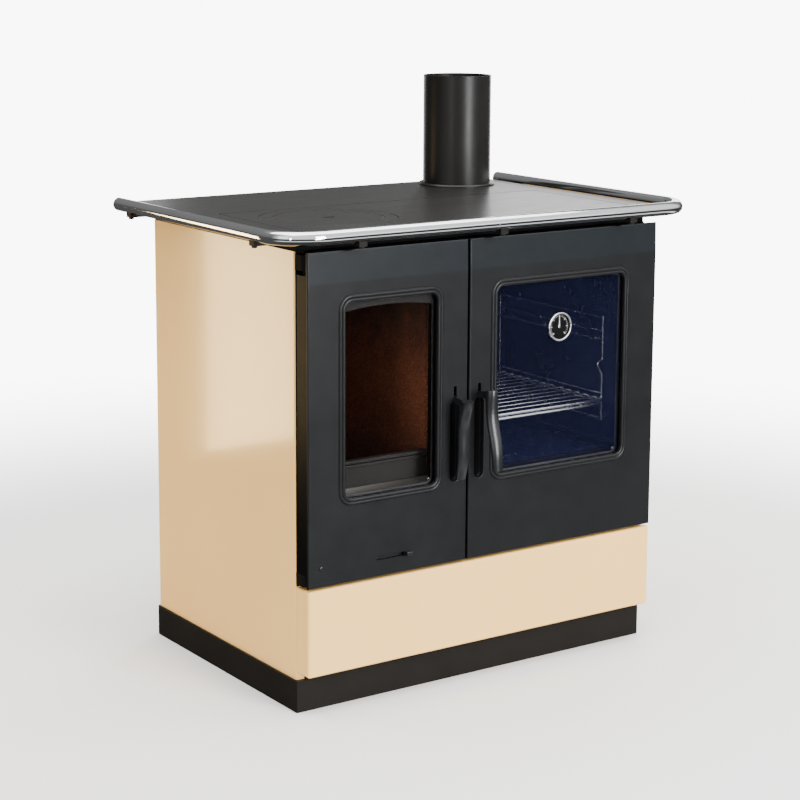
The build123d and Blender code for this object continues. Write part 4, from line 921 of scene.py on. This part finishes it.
# ---- the stove's sub-assemblies
@dataclass
class Dressing:
    """Which finish each CAD node wears.

    Attributes:
        wearers: Each finish with the names of its nodes.
    """

    wearers: tuple[tuple[Finish, str], ...] = (
        (Palette.plinth, "plinth back_panel rail_side_brackets rail_front_brackets"),
        (
            Palette.zinc,
            "base_pan inner_casing drawer_backing drawer_box drawer_case drawer_runners",
        ),
        (Palette.cream, "left_side_panel right_side_panel drawer_front"),
        (
            Palette.carcass,
            "front_frame door_keepers top_frame smoke_box left_door_hinges "
            "right_door_hinges",
        ),
        (Palette.raw_iron, "firebox_shell grate log_retainer air_wash_plate"),
        (Palette.brick, "fire_bricks baffle"),
        (Palette.ash_steel, "ash_pan"),
        (Palette.oven, "oven_box"),
        (
            Palette.wire,
            "left_oven_rack right_oven_rack oven_shelf firebox_handle_pin oven_handle_pin "
            "gauge_case gauge_bezel gauge_nut",
        ),
        (Palette.hob, "hob_frame hob_plate hob_ring hob_lid"),
        (Palette.flue, "flue_collar flue_pipe"),
        (Palette.chrome, "left_rail right_rail rail_sleeve"),
        (Palette.door, "firebox_door oven_door"),
        (Palette.fire_glass, "firebox_glass"),
        (Palette.oven_glass, "oven_glass"),
        (Palette.dark_sheet, "firebox_glass_frame oven_glass_frame air_slide_guides"),
        (Palette.rope, "firebox_door_seal oven_door_seal"),
        (Palette.handle, "air_slide firebox_handle oven_handle"),
        (Palette.dial, "gauge_dial"),
        (Palette.print_white, "gauge_needle"),
        (Palette.lens, "gauge_lens"),
    )

    def dress(self, nodes: dict[str, Object]) -> None:
        """Give every CAD node its finish.

        Args:
            nodes: The CAD nodes by name.
        """
        finishes = {name: finish for finish, names in self.wearers for name in names.split()}
        for name, node in nodes.items():
            material = palette.get(finishes[name])
            if node.data.materials:
                for index in range(len(node.data.materials)):
                    node.data.materials[index] = material
            else:
                node.data.materials.append(material)
            log.info("node %s wears %s", name, material.name)


@dataclass
class Thermometer:
    """Print on the oven thermometer's dial, and the needle's cap.

    Attributes:
        marks: Number of marks round the scale.
        sweep: Angle from the first mark to the last, in degrees.
        long_every: Every how many marks one is long.
        long_mark: Length and width of a long mark.
        short_mark: Length and width of the others.
        relief: Thickness of the print.
        ridge: Height of the raised middle of each mark.
        ridge_inset: Share of the width that stays beside it.
        dial_lift: How far the print stands before the dial's back face.
        rim: Free border outside the marks.
        cap: Radius and height of the needle's cap.
    """

    marks: int = 25
    sweep: float = 270.0
    long_every: int = 4
    long_mark: tuple[float, float] = (4.6 * MM, 1.1 * MM)
    short_mark: tuple[float, float] = (2.4 * MM, 0.5 * MM)
    relief: float = 0.16 * MM
    ridge: float = 0.05 * MM
    ridge_inset: float = 0.2
    dial_lift: float = 0.6 * MM
    rim: float = 3.8 * MM
    cap: tuple[float, float] = (2.0 * MM, 0.5 * MM)

    def build(self) -> None:
        """Model the marks and the cap."""
        low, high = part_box("gauge_dial")
        centre = (low + high) / 2
        radius = (high.x - low.x) / 2
        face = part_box("gauge_dial")[1].y - self.dial_lift
        strokes = []
        for index in range(self.marks):
            length, width = self.short_mark if index % self.long_every else self.long_mark
            turn = math.radians(-self.sweep / 2 + self.sweep * index / (self.marks - 1))
            out = Vector((math.sin(turn), 0.0, math.cos(turn)))
            reach = radius - self.rim - length / 2
            middle = Vector((centre.x, face, centre.z)) + out * reach
            deselect()
            bpy.ops.mesh.primitive_cube_add(size=1.0, location=middle, rotation=(0.0, turn, 0.0))
            stroke = bpy.context.active_object
            stroke.scale = (width, self.relief, length)
            bpy.ops.object.transform_apply(location=False, rotation=False, scale=True)
            with edit_mode(stroke):
                pick_faces(stroke, lambda _, n: n.y < -0.9)
                bpy.ops.mesh.inset(thickness=width * self.ridge_inset, depth=self.ridge)
            strokes.append(stroke)
        deselect()
        for stroke in strokes:
            stroke.select_set(True)
        bpy.context.view_layer.objects.active = strokes[0]
        bpy.ops.object.join()
        scale = bpy.context.active_object
        finish_piece(
            scale, "gauge_marks", Body.OVEN_DOOR, Palette.print_white
        )
        needle_low, needle_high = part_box("gauge_needle")
        cap_centre = Vector(((needle_low.x + needle_high.x) / 2, needle_low.y, centre.z))
        cap = SocketScrew(*self.cap).build(cap_centre, FORWARD)
        finish_piece(cap, "gauge_needle_cap", Body.NEEDLE, Palette.chrome)


@dataclass
class Screws:
    """Small screws: on the firebox door, the back panel, the oven's wall and the panes' frames.

    Attributes:
        door_place: Place on the firebox door's face, in metres.
        head: Radius and height of the door's and the back panel's heads.
        back_inset: How far the back screws stand inside the panel's edge.
        rises: Heights of the screws at its -X and +X edges, as shares of the panel's height.
        oven_bolt: Place of the bolt head on the oven's right wall.
        bolt: Radius and height of that head.
        clamp: Radius and height of the glass screws.
        clamp_inset: How far they stand inside the pane's edges.
        clamp_gap: How far they stand behind the pane.
    """

    door_place: tuple[float, float, float] = (-0.363, -0.2913, 0.267)
    head: tuple[float, float] = (4.2 * MM, 2.2 * MM)
    back_inset: float = 0.022
    rises: tuple[tuple[float, ...], ...] = ((0.04, 0.35, 0.66, 0.96), (0.04, 0.35, 0.66, 0.86))
    oven_bolt: tuple[float, float, float] = (0.343, 0.147, 0.539)
    bolt: tuple[float, float] = (5.0 * MM, 3.0 * MM)
    clamp: tuple[float, float] = (4.2 * MM, 1.6 * MM)
    clamp_inset: float = 0.0125
    clamp_gap: float = 1.8 * MM

    def build(self) -> None:
        """Model and place the screws."""
        head = SocketScrew(*self.head)
        screw = head.build(Vector(self.door_place), FORWARD)
        finish_piece(screw, "firebox_door_screw", Body.FIREBOX_DOOR, Palette.handle)
        low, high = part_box("back_panel")
        places = [
            (side * (high.x - self.back_inset), low.z + share * (high.z - low.z))
            for side, rises in zip((-1, 1), self.rises)
            for share in rises
        ]
        for number, (x, z) in enumerate(places, start=1):
            back = head.build(Vector((x, high.y, z)), -FORWARD)
            finish_piece(back, f"back_screw_{number}", Body.CARCASS, Palette.wire)
        bolt = SocketScrew(*self.bolt).build(Vector(self.oven_bolt), Vector((-1.0, 0.0, 0.0)))
        finish_piece(bolt, "oven_wall_bolt", Body.CARCASS, Palette.wire)
        clamp = SocketScrew(*self.clamp)
        for door, body in (("firebox", Body.FIREBOX_DOOR), ("oven", Body.OVEN_DOOR)):
            low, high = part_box(f"{door}_glass")
            left, right = low.x + self.clamp_inset, high.x - self.clamp_inset
            for side, x in (("left", left), ("right", right)):
                place = Vector((x, high.y + self.clamp_gap, low.z + self.clamp_inset))
                piece = clamp.build(place, FORWARD)
                name = f"{door}_{side}_glass_screw"
                finish_piece(piece, name, body, Palette.dark_sheet)


def block(low: Vector, high: Vector, bevel: float) -> Object:
    """Model a bar or plate with rounded edges.

    Args:
        low: Its lowest corner.
        high: Its highest corner.
        bevel: Radius of its edges.

    Returns:
        The bar, not yet dressed.
    """
    deselect()
    bpy.ops.mesh.primitive_cube_add(size=1.0, location=(low + high) / 2)
    piece = bpy.context.active_object
    piece.scale = high - low
    bpy.ops.object.transform_apply(location=False, rotation=False, scale=True)
    with edit_mode(piece):
        bpy.ops.mesh.select_all(action="SELECT")
        bpy.ops.mesh.bevel(offset=bevel, segments=2, affect="EDGES")
    return piece


@dataclass
class HearthFront:
    """The sill and rib before the log retainer, the rail's ring, and thin black sheets beside the
    doors, painted shade over the side panels' cream front folds.

    Attributes:
        sill_reach: How far the sill stands before the retainer.
        sill_heights: Height of its foot, front edge and back edge.
        rib_height: Height of the rib's middle.
        rib_half: Half the rib's height.
        rib_depths: How far it stands before the retainer's face, and how far it goes in.
        rib_inset: How far it ends inside the retainer's ends.
        shade_sheet: Thickness of the black sheets, painted shade, that lap the side panels' front
            folds.
        shade_sheet_inset: How far a sheet ends inside the fold's edges.
        shade_sheet_gap: Gap between a sheet and the drawer front's top.
        rounds: Radius of the sill's, the rib's and the shade sheets' edges.
        seam_radius: Radius of the ring in the rail's seam.
    """

    sill_reach: float = 8.5 * MM
    sill_heights: tuple[float, float, float] = (0.366, 0.3735, 0.389)
    rib_height: float = 0.427
    rib_half: float = 2.5 * MM
    rib_depths: tuple[float, float] = (1.6 * MM, 0.4 * MM)
    rib_inset: float = 3 * MM
    shade_sheet: float = 0.6 * MM
    shade_sheet_inset: float = 0.5 * MM
    shade_sheet_gap: float = 1 * MM
    rounds: tuple[float, float, float] = (0.6 * MM, 0.7 * MM, 0.15 * MM)
    seam_radius: float = 12.3 * MM

    def build(self) -> None:
        """Model the sill, the rib, the ring and both shade sheets."""
        low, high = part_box("log_retainer")
        foot, front, back = self.sill_heights
        sill = block(
            Vector((low.x, low.y - self.sill_reach, foot)),
            Vector((high.x, low.y, back)),
            self.rounds[0],
        )
        with edit_mode(sill):
            bpy.ops.mesh.select_all(action="SELECT")
            bpy.ops.mesh.bisect(
                plane_co=(0.0, low.y - self.sill_reach, front),
                plane_no=(0.0, front - back, self.sill_reach),
                use_fill=True,
                clear_outer=True,
            )
        # The sill wears iron painted lighter, as painted light where the door shades it.
        finish_piece(sill, "hearth_sill", Body.CARCASS, Palette.sill_painted_light_iron)
        before, into = self.rib_depths
        rib = block(
            Vector((low.x + self.rib_inset, low.y - before, self.rib_height - self.rib_half)),
            Vector((high.x - self.rib_inset, low.y + into, self.rib_height + self.rib_half)),
            self.rounds[1],
        )
        finish_piece(rib, "retainer_rib", Body.CARCASS, Palette.raw_iron)
        left_end, right_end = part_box("left_rail")[1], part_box("right_rail")[0]
        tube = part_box("rail_sleeve")
        ring = SocketScrew(self.seam_radius, right_end.x - left_end.x).build(
            Vector((left_end.x, (tube[0].y + tube[1].y) / 2, (tube[0].z + tube[1].z) / 2)),
            Vector((1.0, 0.0, 0.0)),
        )
        finish_piece(ring, "rail_seam_ring", Body.CARCASS, Palette.wire)
        # Painted shade: a thin black sheet over each side panel's cream front fold, where shade
        # falls.
        drawer_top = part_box("drawer_front")[1].z
        for side in ("left", "right"):
            fold_low, fold_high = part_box(f"{side}_side_panel")
            low_x, high_x = fold_low.x + self.shade_sheet_inset, fold_high.x - self.shade_sheet_inset
            shade_sheet = block(
                Vector((low_x, fold_low.y - self.shade_sheet, drawer_top + self.shade_sheet_gap)),
                Vector((high_x, fold_low.y, fold_high.z)),
                self.rounds[2],
            )
            name = f"{side}_front_shade_sheet"
            finish_piece(shade_sheet, name, Body.CARCASS, Palette.carcass)


@dataclass
class PhotoCamera:
    """Camera fitted to 17 corners of the body in the photograph, with a small shift.

    The best fit needs 537 pixels of shift and misses the corners by 0.76 pixels rms. This one
    misses them by 2.55 pixels rms and 7.5 at worst, so verticals converge more than the photo's.

    Attributes:
        place: Where it stands, in metres.
        yaw: Degrees from +Y towards +X.
        pitch: Degrees downwards.
        roll: Degrees.
        focal_px: Focal length in pixels of an 800 pixel frame.
        shift_px: How far the principal point is above the frame's middle.
        frame_px: Width and height of the frame that both are measured in.
        sensor: Width of the camera's sensor in millimetres.
    """

    place: tuple[float, float, float] = (-2.1908, -3.1912, 1.3144)
    yaw: float = 34.472
    pitch: float = 10.070
    roll: float = 0.299
    focal_px: float = 2049.7
    shift_px: float = 80.0
    frame_px: int = 800
    sensor: float = 36.0

    def build(self) -> None:
        """Make the camera."""
        data = bpy.data.cameras.new("photo_camera")
        data.sensor_width = self.sensor
        data.lens = self.focal_px / self.frame_px * self.sensor
        data.shift_y = -self.shift_px / self.frame_px
        data.clip_end = 100.0
        camera = bpy.data.objects.new("photo_camera", data)
        bpy.context.scene.collection.objects.link(camera)
        yaw, pitch, roll = (math.radians(a) for a in (self.yaw, self.pitch, self.roll))
        forward = Vector(
            (math.sin(yaw) * math.cos(pitch), math.cos(yaw) * math.cos(pitch), -math.sin(pitch))
        )
        level = Vector((math.cos(yaw), -math.sin(yaw), 0.0))
        above = level.cross(forward)
        right = level * math.cos(roll) + above * math.sin(roll)
        up = above * math.cos(roll) - level * math.sin(roll)
        turn = Matrix((right, up, -forward)).transposed()
        camera.matrix_world = Matrix.Translation(self.place) @ turn.to_4x4()
        bpy.context.scene.camera = camera
        log.info("camera at %s", self.place)


# Warm cloth of the card beside the stove, cool cloth of the box for the doors' top bands.
CREAM_CLOTH = (1.0, 0.72, 0.36)
SKY_CLOTH = (0.72, 0.88, 1.0)


@dataclass(frozen=True)
class SoftBox:
    """One rectangular soft box.

    Attributes:
        name: Name of the light.
        place: Where it stands, in metres.
        target: What it points at.
        size: Width and height.
        glow: Brightness of its face.
        colour: Linear colour of its cloth.
    """

    name: str
    place: tuple[float, float, float]
    target: tuple[float, float, float]
    size: tuple[float, float]
    glow: float
    colour: tuple[float, float, float] = (1.0, 1.0, 1.0)

    def build(self) -> None:
        """Make the light, unseen by the camera but seen in polished surfaces."""
        data = bpy.data.lights.new(self.name, "AREA")
        data.shape = "RECTANGLE"
        data.size, data.size_y = self.size
        data.energy = self.glow * math.pi * self.size[0] * self.size[1]
        data.color = self.colour
        lamp = bpy.data.objects.new(self.name, data)
        bpy.context.scene.collection.objects.link(lamp)
        lamp.location = self.place
        aim = Vector(self.target) - Vector(self.place)
        lamp.rotation_euler = aim.to_track_quat("-Z", "Y").to_euler()
        lamp.visible_camera = False
        log.info("light %s, %.0f W", self.name, data.energy)


@dataclass
class Studio:
    """Pale floor, white backdrop, soft boxes and a dim room that the chrome shows.

    Attributes:
        floor_radius: Radius of the floor disc, in metres.
        floor_drop: How far it lies below the stove's foot.
        floor_ring: Width of the disc's outer ring, as a share of its radius.
        backdrop: Brightness behind the stove.
        front_wall: Brightness of the room in front, from straight down (0) to straight up (1).
        back_wall: The same for the room behind.
        wall_blend: Backward looks (Y) between which one wall passes into the other.
        boxes: The soft boxes.
    """

    floor_radius: float = 3.0
    floor_drop: float = 0.5 * MM
    floor_ring: float = 0.3
    backdrop: float = 9.0
    front_wall: dict[float, float] = field(
        default_factory=lambda: {
            0.0: 0.06, 0.17: 0.08, 0.20: 1.8, 0.25: 1.6, 0.29: 0.06,
            0.45: 0.06, 0.50: 0.9, 0.58: 1.6, 1.0: 1.6,
        }
    )
    back_wall: dict[float, float] = field(
        default_factory=lambda: {0.0: 0.1, 0.5: 0.12, 0.62: 0.25, 0.8: 0.3, 1.0: 0.9}
    )
    wall_blend: tuple[float, float] = (-0.2, 0.3)
    boxes: tuple[SoftBox, ...] = (
        SoftBox("front_box", (0.9, -4.4, 2.0), (0.0, -0.2, 0.6), (1.5, 2.6), 21.0),
        SoftBox("top_box", (0.3, 0.2, 3.8), (0.3, 0.0, 0.8), (4.6, 3.2), 6.0),
        SoftBox(
            "left_card", (-1.16, 1.2, 0.42), (-1.16, -2.0, 0.42), (0.28, 0.66), 14.0, CREAM_CLOTH
        ),
        SoftBox("left_box", (-3.8, -1.2, 1.9), (-0.4, 0.0, 0.5), (1.6, 2.2), 1.0),
        SoftBox("low_front_box", (0.5, -4.6, 0.55), (0.2, 0.0, 0.62), (1.2, 0.8), 30.0),
        SoftBox("band_box", (2.4, -3.9, 1.45), (0.0, -0.3, 0.8), (1.4, 0.5), 2.5, SKY_CLOTH),
        SoftBox("edge_strip", (-3.4, -2.4, 1.2), (0.0, -0.3, 0.5), (0.25, 1.8), 14.0),
        SoftBox("right_back_box", (2.76, 2.15, 1.2), (0.2, 0.0, 0.85), (1.6, 1.8), 4.0),
        SoftBox("left_back_box", (0.73, 3.4, 1.0), (0.0, 0.0, 0.85), (1.0, 1.2), 2.5),
    )

    def build(self) -> None:
        """Make the floor, the surround and the lights."""
        deselect()
        bpy.ops.mesh.primitive_circle_add(
            vertices=96,
            radius=self.floor_radius,
            fill_type="NGON",
            location=(0.0, 0.0, -self.floor_drop),
        )
        floor = bpy.context.active_object
        with edit_mode(floor):
            bpy.ops.mesh.select_all(action="SELECT")
            bpy.ops.mesh.inset(thickness=self.floor_radius * self.floor_ring, depth=0.0)
        floor.name = "studio_floor"
        floor.data.materials.append(palette.get(Palette.floor))
        # Mirror reflections see the dim room below instead, which keeps the rail's underside dark.
        floor.visible_glossy = False
        self.surround()
        for box in self.boxes:
            box.build()

    def surround(self) -> None:
        """Make the world: white behind the stove, and a room that only the polished pieces show."""
        world = bpy.data.worlds.new("white_surround")
        bpy.context.scene.world = world
        world.use_nodes = True
        tree = world.node_tree
        room = tree.nodes["Background"]
        place = add_node(tree, "TexCoord").outputs["Generated"]
        way = add_node(tree, "SeparateXYZ", links={"Vector": place}).outputs
        level = map_range(tree, way["Z"], (-1.0, 1.0))
        walls = [
            ramp(tree, level, {height: grey(glow) for height, glow in wall.items()})
            for wall in (self.front_wall, self.back_wall)
        ]
        backwards = map_range(tree, way["Y"], self.wall_blend, smooth=True)
        shade = add_node(
            tree,
            "Mix",
            data_type="RGBA",
            links={MIX_FACTOR: backwards, MIX_A: walls[0], MIX_B: walls[1]},
        )
        tree.links.new(shade.outputs[MIX_RESULT], room.inputs["Color"])
        seen = add_node(tree, "Background", values={"Strength": self.backdrop})
        seen.inputs["Color"].default_value = grey(1.0)
        straight = add_node(tree, "LightPath").outputs["Is Camera Ray"]
        mix = add_node(
            tree, "MixShader", links={0: straight, 1: room.outputs[0], 2: seen.outputs[0]}
        )
        tree.links.new(mix.outputs[0], tree.nodes["World Output"].inputs["Surface"])


def main(frame: dict[str, object]) -> None:
    """Dress the frame and build every new piece in order.
    """
    logging.basicConfig(level=logging.INFO, format="%(name)s: %(message)s")
    Dressing().dress(frame["nodes"])
    Thermometer().build()
    Screws().build()
    HearthFront().build()
    PhotoCamera().build()
    Studio().build()


if __name__ == "__main__":
    main(frame)
